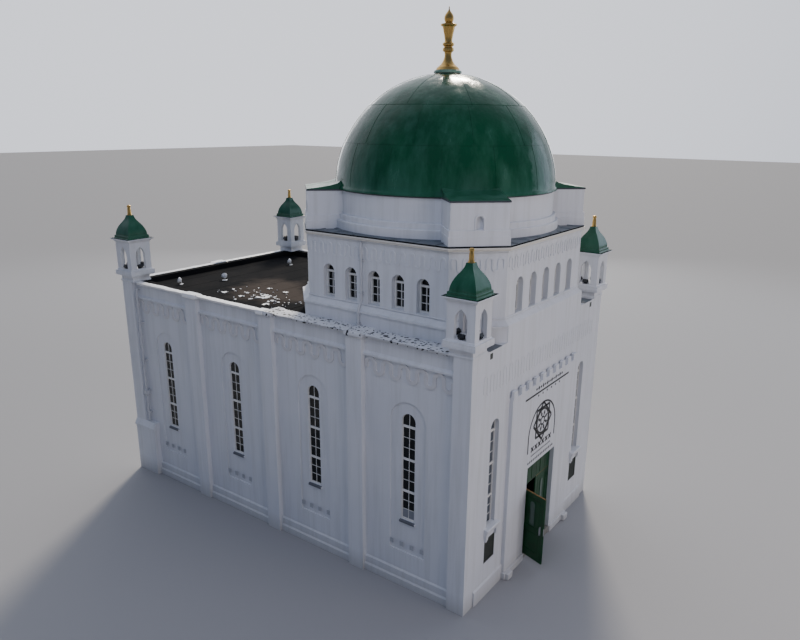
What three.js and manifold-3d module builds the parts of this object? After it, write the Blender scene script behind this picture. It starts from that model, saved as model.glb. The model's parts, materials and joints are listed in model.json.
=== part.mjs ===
import * as THREE from "three";
import { mergeVertices } from "three/addons/utils/BufferGeometryUtils.js";
import Module from "manifold-3d";

const wasm = await Module();
wasm.setup();

// Driving dimensions, in millimetres. X runs along the entrance front, +Y runs back from it, +Z is up.
const GAP = 0.3;
const WIDTH = 7800;
const DEPTH = 13300;
const WALL_TOP = 6760;
const WALL_INNER = 450;
const FLOOR_TOP = 200;

const PIER_WIDTH = 500;
const BAY_RECESS = 150;
const SIDE_BAYS = 4;
const REAR_BAYS = 2;
const COPING_HEIGHT = 60;
const COPING_OVERHANG = 40;
const PLINTH_HEIGHT = 450;
const PLINTH_PROJECTION = 80;
const STRING_TOP = 6340;
const STRING_HEIGHT = 110;
const STRING_PROJECTION = 70;
const STRING_SLOPE = 60;
const PLINTH_SLOPE = 40;
const CORNER_BLOCK_LENGTH = 1000;
const CORNER_BLOCK_PROJECTION = 60;
const CORNER_BLOCK_TOP = 1650;
const CORNER_CAP_TOP = 1900;
const CORNER_CAP_OVERHANG = 40;
const CORNER_CAP_EDGE = 70;

const WINDOW_HALF = 210;
const WINDOW_SILL = 1950;
const WINDOW_SPRING = 4720;
const TRANSOMS = [2790, 3700, 4630];
const TRANSOM_HEIGHT = 80;
const FRAME_WIDTH = 40;
const FRAME_DEPTH = 60;
const PANE_DEPTH = 14;
const FRAME_SETBACK = 60;
const HOOD_HALF = 540;
const HOOD_FOOT = 1000;
const HOOD_TOP = 5240;
const HOOD_RECESS = 35;
const SILL_HALF = 245;
const SILL_HEIGHT = 80;
const SILL_FALL = 25;
const SILL_PROJECTION = 15;
const FRONT_WINDOW_SETBACK = 140;

const PORTAL_HALF = 1970;
const PORTAL_TOP = 5200;
const PORTAL_PROJECTION = 100;
const MERLONS = 10;
const MERLON_HEIGHT = 220;
const MERLON_DEPTH = 80;
const MERLON_RAIL = 40;
const MERLON_PROJECTION = 120;
const FRONT_WINDOW_X = 2680;
const GRILLE_HALF = 270;
const GRILLE_BOTTOM = 980;
const GRILLE_TOP = 1670;
const GRILLE_RECESS = 60;

const DOOR_HALF = 870;
const DOOR_HEAD = 2850;
const DOOR_SETBACK = 130;
const POST_WIDTH = 55;
const POST_DEPTH = 80;
const LEAF_WIDTH = 800;
const LEAF_THICK = 45;
const LEAF_TOP = 2200;
const LEAF_FOOT_CLEAR = 8;
const STILE_WIDTH = 110;
const PANEL_SINK = 12;
const LEAF_EDGE_CLEAR = 10;
const HEAD_RAIL = 62;
const HEAD_PANEL_THICK = 20;
const OPEN_ANGLE = 108;
const HINGE_HEIGHTS = [380, 1130, 1900];
const HINGE_INSET = 2.5;
const HINGE_FORWARD = 12;
const KNUCKLE_RADIUS = 9;
const KNUCKLE_HEIGHT = 40;
const PIN_RADIUS = 6;
const BORE_RADIUS = 6.9;
const STRAP_LENGTH = 35;
const STRAP_FACE = 5;

const ROOF_TOP = 6600;
const ROOF_THICK = 200;
const ROOF_LEDGE = 100;

const TOWER_Y = 3340;
const TOWER_HALF = 3200;
const CHAMFER = 1000;
const TOWER_WALL = 300;
const LEDGE_LOW = 7180;
const LEDGE_HIGH = 7300;
const BAND_PROJECTION = 130;
const EAVES = 9000;
const LIGHTS = 5;
const LIGHT_PITCH = 750;
const LIGHT_HALF = 190;
const LIGHT_SILL = 7350;
const LIGHT_SPRING = 8050;
const LIGHT_MARGIN = 120;
const GLASS_SETBACK = 200;
const GLASS_THICK = 12;
const EAVES_OVERHANG = 30;
const EAVES_HEIGHT = 90;
const TOWER_ROOF_OVERHANG = 60;
const TOWER_ROOF_THICK = 80;

const DRUM_OUTER = 2980;
const DRUM_INNER = 2700;
const DRUM_TOP = 10110;
// outer radius and top of the two courses that thicken the drum's foot
const DRUM_COURSES = [[3140, 9330], [3065, 9480]];
const BLOCK_FACE = 3820;
const BLOCK_HALF = 705;
const BLOCK_STEP_TOP = 9450;
const BLOCK_STEP = 40;
const NICHE_HALF = 90;
const NICHE_HEIGHT = 260;
const NICHE_DEPTH = 100;

const DOME_RADIUS = 3020;
const DOME_HEIGHT = 2950;
const DOME_THICK = 110;
const DOME_LIP = 45;
const DOME_LIP_HEIGHT = 60;

const TURRET_INSET = 310;
const TURRET_BODY = 740;
const TURRET_WALL = 110;
const TURRET_NECK = 620;
const TURRET_NECK_HEIGHT = 210;
const TURRET_BASE_HEIGHT = 160;
const TURRET_CEILING = 90;
const TURRET_BASE = 860;
const TURRET_EAVES = 8120;
const TURRET_SILL = 7180;
const TURRET_SPRING = 7600;
const TURRET_ARCH_HALF = 170;
const TURRET_ROOF_HALF = 475;

const PIPE_RADIUS = 34;
const PIPE_SIDES = 8;
const PIPE_STANDOFF = 12;
const CLIP_HEIGHT = 40;
const OUTLET_Z = 6560;
const HOPPER_BASE = 2870;
const HOPPER_HEIGHT = 170;
const HOPPER_HALF = 90;
const DRIP_GAP = 30;

// Colours of the finished surfaces
const finish = {
  render: { color: 0xd8d9dc, roughness: 0.85, metalness: 0 },
  felt: { color: 0x2f3133, roughness: 0.9, metalness: 0 },
  greenSheet: { color: 0x0d4a26, roughness: 0.3, metalness: 0 },
  gilt: { color: 0xd8a548, roughness: 0.35, metalness: 1 },
  doorPaint: { color: 0x0b3a22, roughness: 0.45, metalness: 0 },
  windowPaint: { color: 0xe8e6e0, roughness: 0.5, metalness: 0 },
  glass: { color: 0x3b444a, roughness: 0.1, metalness: 0 },
  pipe: { color: 0xb9bbbd, roughness: 0.5, metalness: 0 },
  concrete: { color: 0xa7a59f, roughness: 0.9, metalness: 0 },
};

const building = new THREE.Group();

function solid(geometry) {
  const bare = geometry.index ? geometry.toNonIndexed() : geometry.clone();
  bare.deleteAttribute("normal");
  bare.deleteAttribute("uv");
  const merged = mergeVertices(bare, 1e-3);
  const vertProperties = new Float32Array(merged.attributes.position.array);
  const triVerts = new Uint32Array(merged.index.array);
  return new wasm.Manifold(new wasm.Mesh({ numProp: 3, vertProperties, triVerts }));
}

function geometryOf(manifold) {
  const mesh = manifold.getMesh();
  const positions = new Float32Array((mesh.vertProperties.length / mesh.numProp) * 3);
  for (let i = 0; i < positions.length / 3; i += 1) {
    for (let k = 0; k < 3; k += 1) {
      positions[3 * i + k] = mesh.vertProperties[mesh.numProp * i + k];
    }
  }
  const geometry = new THREE.BufferGeometry();
  geometry.setAttribute("position", new THREE.BufferAttribute(positions, 3));
  geometry.setIndex(new THREE.BufferAttribute(new Uint32Array(mesh.triVerts), 1));
  geometry.computeVertexNormals();
  return geometry;
}

function join(solids) {
  return solids.slice(1).reduce((whole, next) => whole.add(next), solids[0]);
}

function cut(whole, tools) {
  return tools.reduce((rest, tool) => rest.subtract(tool), whole);
}

function addNode(name, shape, look, matrix = new THREE.Matrix4()) {
  const geometry = shape.isBufferGeometry ? shape : geometryOf(shape);
  const mesh = new THREE.Mesh(geometry, new THREE.MeshStandardMaterial(finish[look]));
  mesh.name = name;
  mesh.applyMatrix4(matrix);
  building.add(mesh);
  return mesh;
}

function boxGeometry(x0, x1, y0, y1, z0, z1) {
  const geometry = new THREE.BoxGeometry(x1 - x0, y1 - y0, z1 - z0);
  return geometry.translate((x0 + x1) / 2, (y0 + y1) / 2, (z0 + z1) / 2);
}

function box(...sides) {
  return solid(boxGeometry(...sides));
}

// The lower and upper bound of a span given by two distances on one side of the middle
function between(side, near, far) {
  return [side * near, side * far].sort((p, q) => p - q);
}

function post(radius, x, y, z0, z1, sides = 8) {
  const cylinder = new THREE.CylinderGeometry(radius, radius, z1 - z0, sides);
  return solid(cylinder.rotateX(Math.PI / 2).translate(x, y, (z0 + z1) / 2));
}

// A prism whose outline lies in plan and whose height runs up from z0 to z1
function prism(points, z0, z1) {
  const drawn = points instanceof THREE.Shape;
  const shape = drawn ? points : new THREE.Shape(points.map(([x, y]) => new THREE.Vector2(x, y)));
  const options = { depth: z1 - z0, bevelEnabled: false, curveSegments: 14 };
  return solid(new THREE.ExtrudeGeometry(shape, options).translate(0, 0, z0));
}

// A shape drawn as seen from outside a wall, run inwards from depth n0 to n1
function inward(shape, n0, n1, curveSegments = 4) {
  const geometry = new THREE.ExtrudeGeometry(shape, { depth: n1 - n0, bevelEnabled: false, curveSegments });
  return solid(geometry.rotateX(Math.PI / 2).translate(0, n1, 0));
}

// A wall section, drawn as depth and height, run along the wall from u0 to u1
function along(section, u0, u1) {
  const shape = new THREE.Shape(section.map(([n, z]) => new THREE.Vector2(n, z)));
  const geometry = new THREE.ExtrudeGeometry(shape, { depth: u1 - u0, bevelEnabled: false });
  const turn = new THREE.Matrix4().makeBasis(
    new THREE.Vector3(0, 1, 0),
    new THREE.Vector3(0, 0, 1),
    new THREE.Vector3(1, 0, 0),
  );
  return solid(geometry.applyMatrix4(turn).translate(u0, 0, 0));
}

// Outline of a round-headed opening
function roundArch(centre, half, foot, spring) {
  const shape = new THREE.Shape();
  shape.moveTo(centre - half, foot);
  shape.lineTo(centre + half, foot);
  shape.lineTo(centre + half, spring);
  shape.absarc(centre, spring, half, 0, Math.PI, false);
  shape.lineTo(centre - half, foot);
  return shape;
}

// Outline of a pointed opening: each side is an arc struck from the far side
function pointedArch(half, foot, spring) {
  const shape = new THREE.Shape();
  shape.moveTo(-half, foot);
  shape.lineTo(half, foot);
  shape.lineTo(half, spring);
  shape.absarc(-half, spring, 2 * half, 0, Math.PI / 3, false);
  shape.absarc(half, spring, 2 * half, (2 * Math.PI) / 3, Math.PI, false);
  shape.lineTo(-half, foot);
  return shape;
}

// Placements of the four walls: seen from outside, u runs to the right and n runs inwards
const half = WIDTH / 2;
const placeFront = new THREE.Matrix4();
const placeLeft = new THREE.Matrix4().makeRotationZ(-Math.PI / 2).setPosition(-half, DEPTH, 0);
const placeRight = new THREE.Matrix4().makeRotationZ(Math.PI / 2).setPosition(half, 0, 0);
const placeRear = new THREE.Matrix4().makeRotationZ(Math.PI).setPosition(0, DEPTH, 0);

// Floor, with the door step as part of it
function addFloor() {
  const inner = half - WALL_INNER - GAP;
  const floor = box(-inner, inner, WALL_INNER + GAP, DEPTH - WALL_INNER - GAP, 0, FLOOR_TOP);
  const stepHalf = DOOR_HALF - GAP;
  const step = box(-stepHalf, stepHalf, -PORTAL_PROJECTION, WALL_INNER + 10, 0, FLOOR_TOP);
  addNode("floor_slab", floor.add(step), "concrete");
}

// Centres of the bays and of the pilasters between them, along a wall from u0 to u1
function bayLayout(u0, u1, bays) {
  const pitch = (u1 - u0 + PIER_WIDTH) / bays;
  const centres = Array.from({ length: bays }, (_, i) => u0 + (i + 0.5) * pitch - PIER_WIDTH / 2);
  const pilasters = centres.slice(1).map((u) => u - pitch / 2);
  return { centres, pilasters };
}

// Window opening, its blind hood recess and its sill, in a wall face at depth n
function bayCuts(u, face) {
  const blind = roundArch(u, HOOD_HALF, HOOD_FOOT, HOOD_TOP - HOOD_HALF);
  const hood = inward(blind, face - 1, face + HOOD_RECESS, 6);
  const hole = inward(roundArch(u, WINDOW_HALF, WINDOW_SILL, WINDOW_SPRING), face - 1, WALL_INNER + 1);
  return [hood, hole];
}

function windowSill(u, face) {
  const back = face + FRAME_SETBACK + 40;
  const section = [
    [face - SILL_PROJECTION, WINDOW_SILL - SILL_HEIGHT],
    [back, WINDOW_SILL - SILL_HEIGHT],
    [back, WINDOW_SILL],
    [face - SILL_PROJECTION, WINDOW_SILL - SILL_FALL],
  ];
  return along(section, u - SILL_HALF, u + SILL_HALF);
}

// A bayed wall from u0 to u1, its outer pier face at depth 0
function bayedWall(u0, u1, bay0, bay1, bays) {
  const { centres, pilasters } = bayLayout(bay0, bay1, bays);
  const face = BAY_RECESS;
  const coping = WALL_TOP - COPING_HEIGHT;
  const wall = cut(box(u0, u1, face, WALL_INNER, 0, coping), centres.flatMap((u) => bayCuts(u, face)));
  const parts = [box(u0, u1, face - COPING_OVERHANG, WALL_INNER, coping, WALL_TOP)];
  const cap = PIER_WIDTH / 2 + COPING_OVERHANG;
  for (const u of pilasters) {
    parts.push(box(u - PIER_WIDTH / 2, u + PIER_WIDTH / 2, 0, face + 10, 0, coping));
    parts.push(box(u - cap, u + cap, -COPING_OVERHANG, face + 10, coping, WALL_TOP));
  }
  const string = [
    [face + 10, STRING_TOP - STRING_HEIGHT],
    [face + 10, STRING_TOP],
    [face, STRING_TOP],
    [face - STRING_PROJECTION, STRING_TOP - STRING_SLOPE],
    [face - STRING_PROJECTION, STRING_TOP - STRING_HEIGHT],
  ];
  const plinth = [
    [face + 10, 0],
    [face + 10, PLINTH_HEIGHT],
    [face, PLINTH_HEIGHT],
    [face - PLINTH_PROJECTION / 2, PLINTH_HEIGHT - PLINTH_SLOPE],
    [face - PLINTH_PROJECTION / 2, PLINTH_HEIGHT / 2],
    [face - PLINTH_PROJECTION, PLINTH_HEIGHT / 2 - PLINTH_SLOPE],
    [face - PLINTH_PROJECTION, 0],
  ];
  parts.push(along(string, bay0, bay1), along(plinth, bay0, bay1));
  for (const u of centres) parts.push(windowSill(u, face));
  return join([wall, ...parts]);
}

// The corner block low on the rear pier, under a sloped cap; corner is the u of the building's corner
function cornerBlock(corner, side) {
  const span = (length) => between(1, corner, corner + side * length);
  const back = BAY_RECESS + 10;
  const edge = -CORNER_BLOCK_PROJECTION - CORNER_CAP_OVERHANG;
  const capSection = [
    [edge, CORNER_BLOCK_TOP],
    [back, CORNER_BLOCK_TOP],
    [back, CORNER_CAP_TOP],
    [0, CORNER_CAP_TOP],
    [edge, CORNER_BLOCK_TOP + CORNER_CAP_EDGE],
  ];
  const block = box(...span(CORNER_BLOCK_LENGTH), -CORNER_BLOCK_PROJECTION, back, 0, CORNER_BLOCK_TOP + 10);
  return block.add(along(capSection, ...span(CORNER_BLOCK_LENGTH + CORNER_CAP_OVERHANG)));
}

function addSideWall(name, matrix, rearCorner, side) {
  const wall = bayedWall(0, DEPTH, PIER_WIDTH, DEPTH - PIER_WIDTH, SIDE_BAYS);
  const piers = [
    box(0, PIER_WIDTH, 0, WALL_INNER, 0, WALL_TOP),
    box(DEPTH - PIER_WIDTH, DEPTH, 0, WALL_INNER, 0, WALL_TOP),
  ];
  addNode(name, join([wall, ...piers, cornerBlock(rearCorner, side)]), "render", matrix);
}

function addRearWall() {
  const end = half - WALL_INNER - GAP;
  const bayEnd = half - PIER_WIDTH;
  const wall = bayedWall(-end, end, -bayEnd, bayEnd, REAR_BAYS);
  const returns = [-1, 1].map((side) => box(...between(side, bayEnd, end), 0, BAY_RECESS + 10, 0, WALL_TOP));
  addNode("rear_wall", join([wall, ...returns]), "render", placeRear);
}

// Front wall beside the doorway; side is -1 on the left and 1 on the right
function addFrontWallBeside(name, side) {
  const end = half - WALL_INNER - GAP;
  const main = box(...between(side, DOOR_HALF, end), 0, WALL_INNER, 0, WALL_TOP);
  const portal = box(...between(side, DOOR_HALF, PORTAL_HALF), -PORTAL_PROJECTION, 1, 0, PORTAL_TOP);
  const u = side * FRONT_WINDOW_X;
  const sill = windowSill(u, 0);
  const hole = inward(roundArch(u, WINDOW_HALF, WINDOW_SILL, WINDOW_SPRING), -1, WALL_INNER + 1);
  const grille = box(u - GRILLE_HALF, u + GRILLE_HALF, -1, GRILLE_RECESS, GRILLE_BOTTOM, GRILLE_TOP);
  const plinth = [
    [1, 0],
    [1, PLINTH_HEIGHT],
    [0, PLINTH_HEIGHT],
    [-PLINTH_PROJECTION / 2, PLINTH_HEIGHT - PLINTH_SLOPE],
    [-PLINTH_PROJECTION / 2, 0],
  ];
  const base = along(plinth, ...between(side, PORTAL_HALF - 1, end));
  addNode(name, join([cut(main, [hole, grille]), portal, sill, base]), "render", placeFront);
}

function addFrontWallOver() {
  const wide = DOOR_HALF - GAP;
  const over = box(-wide, wide, 0, WALL_INNER, DOOR_HEAD, WALL_TOP);
  const portal = box(-wide, wide, -PORTAL_PROJECTION, 1, DOOR_HEAD, PORTAL_TOP);
  addNode("front_wall_over_door", over.add(portal), "render");
}

// Row of small merlons along the top of the portal
function addPortalMerlons() {
  const pitch = (2 * PORTAL_HALF) / (2 * MERLONS - 1);
  const foot = PORTAL_TOP + GAP;
  const parts = [box(-PORTAL_HALF, PORTAL_HALF, -MERLON_PROJECTION, -GAP, foot, foot + MERLON_RAIL)];
  for (let i = 0; i < MERLONS; i += 1) {
    const u = -PORTAL_HALF + 2 * i * pitch;
    const back = MERLON_DEPTH - MERLON_PROJECTION;
    parts.push(box(u, u + pitch, -MERLON_PROJECTION, back, foot + MERLON_RAIL - 10, foot + MERLON_HEIGHT));
  }
  addNode("portal_merlons", join(parts), "render");
}

// Timber window: arched frame, transoms and the pane in its rebate
function windowSolid() {
  const outer = roundArch(0, WINDOW_HALF - GAP, WINDOW_SILL + GAP, WINDOW_SPRING);
  const inner = roundArch(0, WINDOW_HALF - FRAME_WIDTH, WINDOW_SILL + FRAME_WIDTH, WINDOW_SPRING);
  const ring = inward(outer, 0, FRAME_DEPTH).subtract(inward(inner, -1, FRAME_DEPTH + 1));
  const middle = FRAME_DEPTH / 2;
  const pane = inward(outer, middle - PANE_DEPTH / 2, middle + PANE_DEPTH / 2);
  const wide = WINDOW_HALF - FRAME_WIDTH / 2;
  const rails = TRANSOMS.map((z) => {
    return box(-wide, wide, 0, FRAME_DEPTH, z - TRANSOM_HEIGHT / 2, z + TRANSOM_HEIGHT / 2);
  });
  return join([ring, pane, ...rails]);
}

function addWindows() {
  const shape = geometryOf(windowSolid());
  const place = (name, wall, u, setback) => {
    const matrix = wall.clone().multiply(new THREE.Matrix4().makeTranslation(u, setback, 0));
    addNode(name, shape, "windowPaint", matrix);
  };
  const side = bayLayout(PIER_WIDTH, DEPTH - PIER_WIDTH, SIDE_BAYS).centres;
  side.forEach((u, i) => {
    place(`left_window_${SIDE_BAYS - i}`, placeLeft, u, BAY_RECESS + FRAME_SETBACK);
    place(`right_window_${i + 1}`, placeRight, u, BAY_RECESS + FRAME_SETBACK);
  });
  const rear = bayLayout(-half + PIER_WIDTH, half - PIER_WIDTH, REAR_BAYS).centres;
  rear.forEach((u, i) => place(`rear_window_${i + 1}`, placeRear, u, BAY_RECESS + FRAME_SETBACK));
  place("front_window_left", placeFront, -FRONT_WINDOW_X, FRONT_WINDOW_SETBACK);
  place("front_window_right", placeFront, FRONT_WINDOW_X, FRONT_WINDOW_SETBACK);
}

// The leaves turn about axes just in front of the frame's face
const frameFace = DOOR_SETBACK - PORTAL_PROJECTION;
const hingeX = DOOR_HALF - POST_WIDTH - HINGE_INSET;
const hingeY = frameFace - HINGE_FORWARD;

// Hinge half on the post: strap, knuckle and the pin that stands up from it
function hingeOnPost(side, z) {
  const strapFace = hingeY + STRAP_FACE;
  const strapSpan = between(side, hingeX + 3, hingeX + STRAP_LENGTH);
  return join([
    box(...strapSpan, strapFace, frameFace + 2, z, z + KNUCKLE_HEIGHT),
    post(KNUCKLE_RADIUS, side * hingeX, hingeY, z, z + KNUCKLE_HEIGHT),
    post(PIN_RADIUS, side * hingeX, hingeY, z, z + 2 * KNUCKLE_HEIGHT),
  ]);
}

// Hinge half on the leaf: strap and bored knuckle, drawn about the axis
function hingeOnLeaf(side, z) {
  const foot = z + KNUCKLE_HEIGHT + GAP;
  const top = z + 2 * KNUCKLE_HEIGHT;
  const strap = box(...between(side, 3, STRAP_LENGTH), STRAP_FACE, HINGE_FORWARD + 2, foot, top);
  const knuckle = post(KNUCKLE_RADIUS, 0, 0, foot, top);
  return strap.add(knuckle).subtract(post(BORE_RADIUS, 0, 0, foot - 1, top + 1));
}

// Door frame with its head panel over the leaves
function addDoorFrame() {
  const outer = DOOR_HALF - GAP;
  const back = frameFace + POST_DEPTH;
  const top = DOOR_HEAD - GAP;
  const posts = [-1, 1].map((side) => {
    return box(...between(side, outer, DOOR_HALF - POST_WIDTH), frameFace, back, FLOOR_TOP + GAP, top);
  });
  const railFoot = LEAF_TOP + LEAF_FOOT_CLEAR;
  const rail = box(-outer, outer, frameFace, back, railFoot, railFoot + HEAD_RAIL);
  const head = box(-outer, outer, frameFace, back, top - POST_WIDTH, top);
  const panelFace = frameFace + (POST_DEPTH - HEAD_PANEL_THICK) / 2;
  const panel = box(-outer, outer, panelFace, panelFace + HEAD_PANEL_THICK, railFoot + 10, top - 10);
  const hinges = HINGE_HEIGHTS.flatMap((z) => [hingeOnPost(-1, z), hingeOnPost(1, z)]);
  addNode("door_frame", join([...posts, rail, head, panel, ...hinges]), "doorPaint");
}

// A door leaf in its closed place beside its hinge axis, with three sunk panels on each face
function leafSolid(side) {
  const near = LEAF_EDGE_CLEAR - HINGE_INSET;
  const far = near + LEAF_WIDTH;
  const foot = FLOOR_TOP + LEAF_FOOT_CLEAR;
  const face = HINGE_FORWARD;
  const back = face + LEAF_THICK;
  const slab = box(...between(side, near, far), face, back, foot, LEAF_TOP);
  const panelSpan = between(side, near + STILE_WIDTH, far - STILE_WIDTH);
  const rows = [
    [foot + 2 * STILE_WIDTH, foot + 800],
    [foot + 800 + STILE_WIDTH, foot + 1080],
    [foot + 1080 + STILE_WIDTH, LEAF_TOP - STILE_WIDTH],
  ];
  const sunk = rows.flatMap(([z0, z1]) => [
    box(...panelSpan, face - 1, face + PANEL_SINK, z0, z1),
    box(...panelSpan, back - PANEL_SINK, back + 1, z0, z1),
  ]);
  const leaf = cut(slab, sunk);
  return join([leaf, ...HINGE_HEIGHTS.map((z) => hingeOnLeaf(side, z))]);
}

function addDoors() {
  const open = new THREE.Matrix4().makeRotationZ(THREE.MathUtils.degToRad(-OPEN_ANGLE));
  addNode("door_leaf_left", leafSolid(1), "doorPaint", open.setPosition(-hingeX, hingeY, 0));
  const closed = new THREE.Matrix4().makeTranslation(hingeX, hingeY, 0);
  addNode("door_leaf_right", leafSolid(-1), "doorPaint", closed);
}

// Plan outline of the chamfered tower, grown outwards by grow
function towerPlan(grow) {
  const a = TOWER_HALF + grow;
  const b = TOWER_HALF - CHAMFER + grow * Math.tan(Math.PI / 8);
  const corner = [[a, b], [b, a], [-b, a], [-a, b], [-a, -b], [-b, -a], [b, -a], [a, -b]];
  return corner.map(([x, y]) => [x, y + TOWER_Y]);
}

// Main flat roof, open under the tower
function addMainRoof() {
  const inner = half - WALL_INNER - GAP;
  const inset = WALL_INNER + GAP;
  const slab = box(-inner, inner, inset, DEPTH - inset, ROOF_TOP - ROOF_THICK, ROOF_TOP);
  const opening = prism(towerPlan(-TOWER_WALL - ROOF_LEDGE), ROOF_TOP - ROOF_THICK - 1, ROOF_TOP + 1);
  addNode("main_roof", slab.subtract(opening), "felt");
}

// One straight run of tower wall, mitred to its neighbours at 22.5 degrees
function towerRun(halfLength, section) {
  const reach = 500;
  const slope = Math.tan(Math.PI / 8);
  const end = halfLength - GAP / 2;
  const mitre = prism([
    [-end - reach * slope, -reach],
    [end + reach * slope, -reach],
    [end - reach * slope, reach],
    [-end + reach * slope, reach],
  ], ROOF_TOP - 10, EAVES + 10);
  return along(section, -halfLength - reach, halfLength + reach).intersect(mitre);
}

function towerSection(projection) {
  return [
    [TOWER_WALL, ROOF_TOP + GAP],
    [-projection, ROOF_TOP + GAP],
    [-projection, LEDGE_LOW],
    [0, LEDGE_HIGH],
    [0, EAVES - EAVES_HEIGHT],
    [-EAVES_OVERHANG, EAVES - EAVES_HEIGHT + EAVES_OVERHANG],
    [-EAVES_OVERHANG, EAVES],
    [TOWER_WALL, EAVES],
  ];
}

const towerSides = [
  { name: "front", turn: 0, projection: TOWER_Y - TOWER_HALF },
  { name: "right", turn: 90, projection: BAND_PROJECTION },
  { name: "rear", turn: 180, projection: BAND_PROJECTION },
  { name: "left", turn: 270, projection: BAND_PROJECTION },
];

// Each tower wall is a face with five lights and the chamfer at its left end
const towerFlat = TOWER_HALF - CHAMFER;
const sheetHalf = towerFlat - 200;
const sheetFoot = LIGHT_SILL - LIGHT_MARGIN;
const sheetTop = LIGHT_SPRING + LIGHT_HALF + LIGHT_MARGIN;

function towerFace(projection) {
  const cuts = [box(-sheetHalf, sheetHalf, GLASS_SETBACK, TOWER_WALL + 1, sheetFoot, sheetTop)];
  for (let i = 0; i < LIGHTS; i += 1) {
    const u = (i - (LIGHTS - 1) / 2) * LIGHT_PITCH;
    cuts.push(inward(roundArch(u, LIGHT_HALF, LIGHT_SILL, LIGHT_SPRING), -1, GLASS_SETBACK + 1));
  }
  return cut(towerRun(towerFlat, towerSection(projection)), cuts);
}

function addTower() {
  const centre = new THREE.Matrix4().makeTranslation(0, TOWER_Y, 0);
  const outwards = new THREE.Matrix4().makeTranslation(0, -TOWER_HALF, 0);
  const frontWall = box(-half, half, -1, WALL_INNER + GAP, 0, WALL_TOP + GAP);
  const back = GLASS_SETBACK + GAP;
  for (const { name, turn, projection } of towerSides) {
    const chamfer = geometryOf(towerRun(CHAMFER / Math.SQRT2, towerSection(BAND_PROJECTION)));
    chamfer.rotateZ(-Math.PI / 4).translate(-TOWER_HALF + CHAMFER / 2, CHAMFER / 2, 0);
    const seam = box(-towerFlat - 2, -towerFlat + 2, 1, TOWER_WALL - 130, ROOF_TOP + 1, EAVES - 1);
    const wall = geometryOf(join([towerFace(projection), solid(chamfer), seam]));
    const place = centre.clone();
    place.multiply(new THREE.Matrix4().makeRotationZ(THREE.MathUtils.degToRad(turn))).multiply(outwards);
    addNode(`tower_${name}_wall`, solid(wall.applyMatrix4(place)).subtract(frontWall), "render");
    const wide = sheetHalf - GAP;
    const sheet = boxGeometry(-wide, wide, back, back + GLASS_THICK, sheetFoot + GAP, sheetTop - GAP);
    addNode(`tower_${name}_glazing`, sheet, "glass", place);
  }
}

function addTowerRoof() {
  const slab = prism(towerPlan(TOWER_ROOF_OVERHANG), EAVES + GAP, EAVES + TOWER_ROOF_THICK);
  const hole = post(DRUM_INNER, 0, TOWER_Y, EAVES - 1, EAVES + TOWER_ROOF_THICK + 1, 40);
  addNode("tower_roof", slab.subtract(hole), "felt");
}

function quarterRing(radius) {
  const edge = GAP / DRUM_INNER;
  const ring = new THREE.Shape();
  ring.absarc(0, 0, radius, -Math.PI / 4 + edge, Math.PI / 4 - edge, false);
  ring.absarc(0, 0, DRUM_INNER, Math.PI / 4 - edge, -Math.PI / 4 + edge, true);
  return ring;
}

// A quarter of the round drum with its corner block; drawn about the axis and turned to its corner
function drumQuarter() {
  const z0 = EAVES + TOWER_ROOF_THICK + GAP;
  const rings = [[DRUM_OUTER, DRUM_TOP], ...DRUM_COURSES].map(([radius, top]) => {
    return prism(quarterRing(radius), z0, top);
  });
  const block = box(DRUM_INNER + 60, BLOCK_FACE, -BLOCK_HALF, BLOCK_HALF, z0, DRUM_TOP);
  const stepHalf = BLOCK_HALF + BLOCK_STEP;
  const step = box(DRUM_OUTER - 100, BLOCK_FACE + BLOCK_STEP, -stepHalf, stepHalf, z0, BLOCK_STEP_TOP);
  const niche = roundArch(0, NICHE_HALF, BLOCK_STEP_TOP + 20, BLOCK_STEP_TOP + NICHE_HEIGHT);
  const nicheCut = geometryOf(inward(niche, -1, NICHE_DEPTH));
  nicheCut.rotateZ(Math.PI / 2).translate(BLOCK_FACE, 0, 0);
  const bore = post(DRUM_INNER, 0, 0, z0 - 1, DRUM_TOP + 1, 56);
  const whole = join([...rings, block, step]);
  return cut(whole, [solid(nicheCut), bore]);
}

function addDrum() {
  const quarter = geometryOf(drumQuarter());
  const corners = [["rear_right", 45], ["rear_left", 135], ["front_left", 225], ["front_right", 315]];
  for (const [name, angle] of corners) {
    const place = new THREE.Matrix4().makeRotationZ(THREE.MathUtils.degToRad(angle));
    addNode(`drum_${name}`, quarter, "render", place.setPosition(0, TOWER_Y, 0));
  }
}

// Closed ring profile turned about the vertical axis
function turned(points, segments) {
  const profile = points.map(([r, z]) => new THREE.Vector2(r, z));
  return new THREE.LatheGeometry(profile, segments).rotateX(Math.PI / 2);
}

function addDome() {
  const rings = 12;
  const base = DRUM_TOP + GAP;
  const arc = (radius, height) => Array.from({ length: rings + 1 }, (_, i) => {
    const angle = (i / rings) * (Math.PI / 2);
    return [i === rings ? 0 : radius * Math.cos(angle), height * Math.sin(angle)];
  });
  const outer = arc(DOME_RADIUS, DOME_HEIGHT).slice(1);
  const inner = arc(DOME_RADIUS - DOME_THICK, DOME_HEIGHT - DOME_THICK).reverse();
  const lip = DOME_RADIUS + DOME_LIP;
  const foot = [[lip, 0], [lip, DOME_LIP_HEIGHT], [DOME_RADIUS, DOME_LIP_HEIGHT]];
  const profile = [...inner, ...foot, ...outer];
  const shell = turned(profile, 48).translate(0, TOWER_Y, base);
  addNode("dome", solid(shell), "greenSheet");
}

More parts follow.
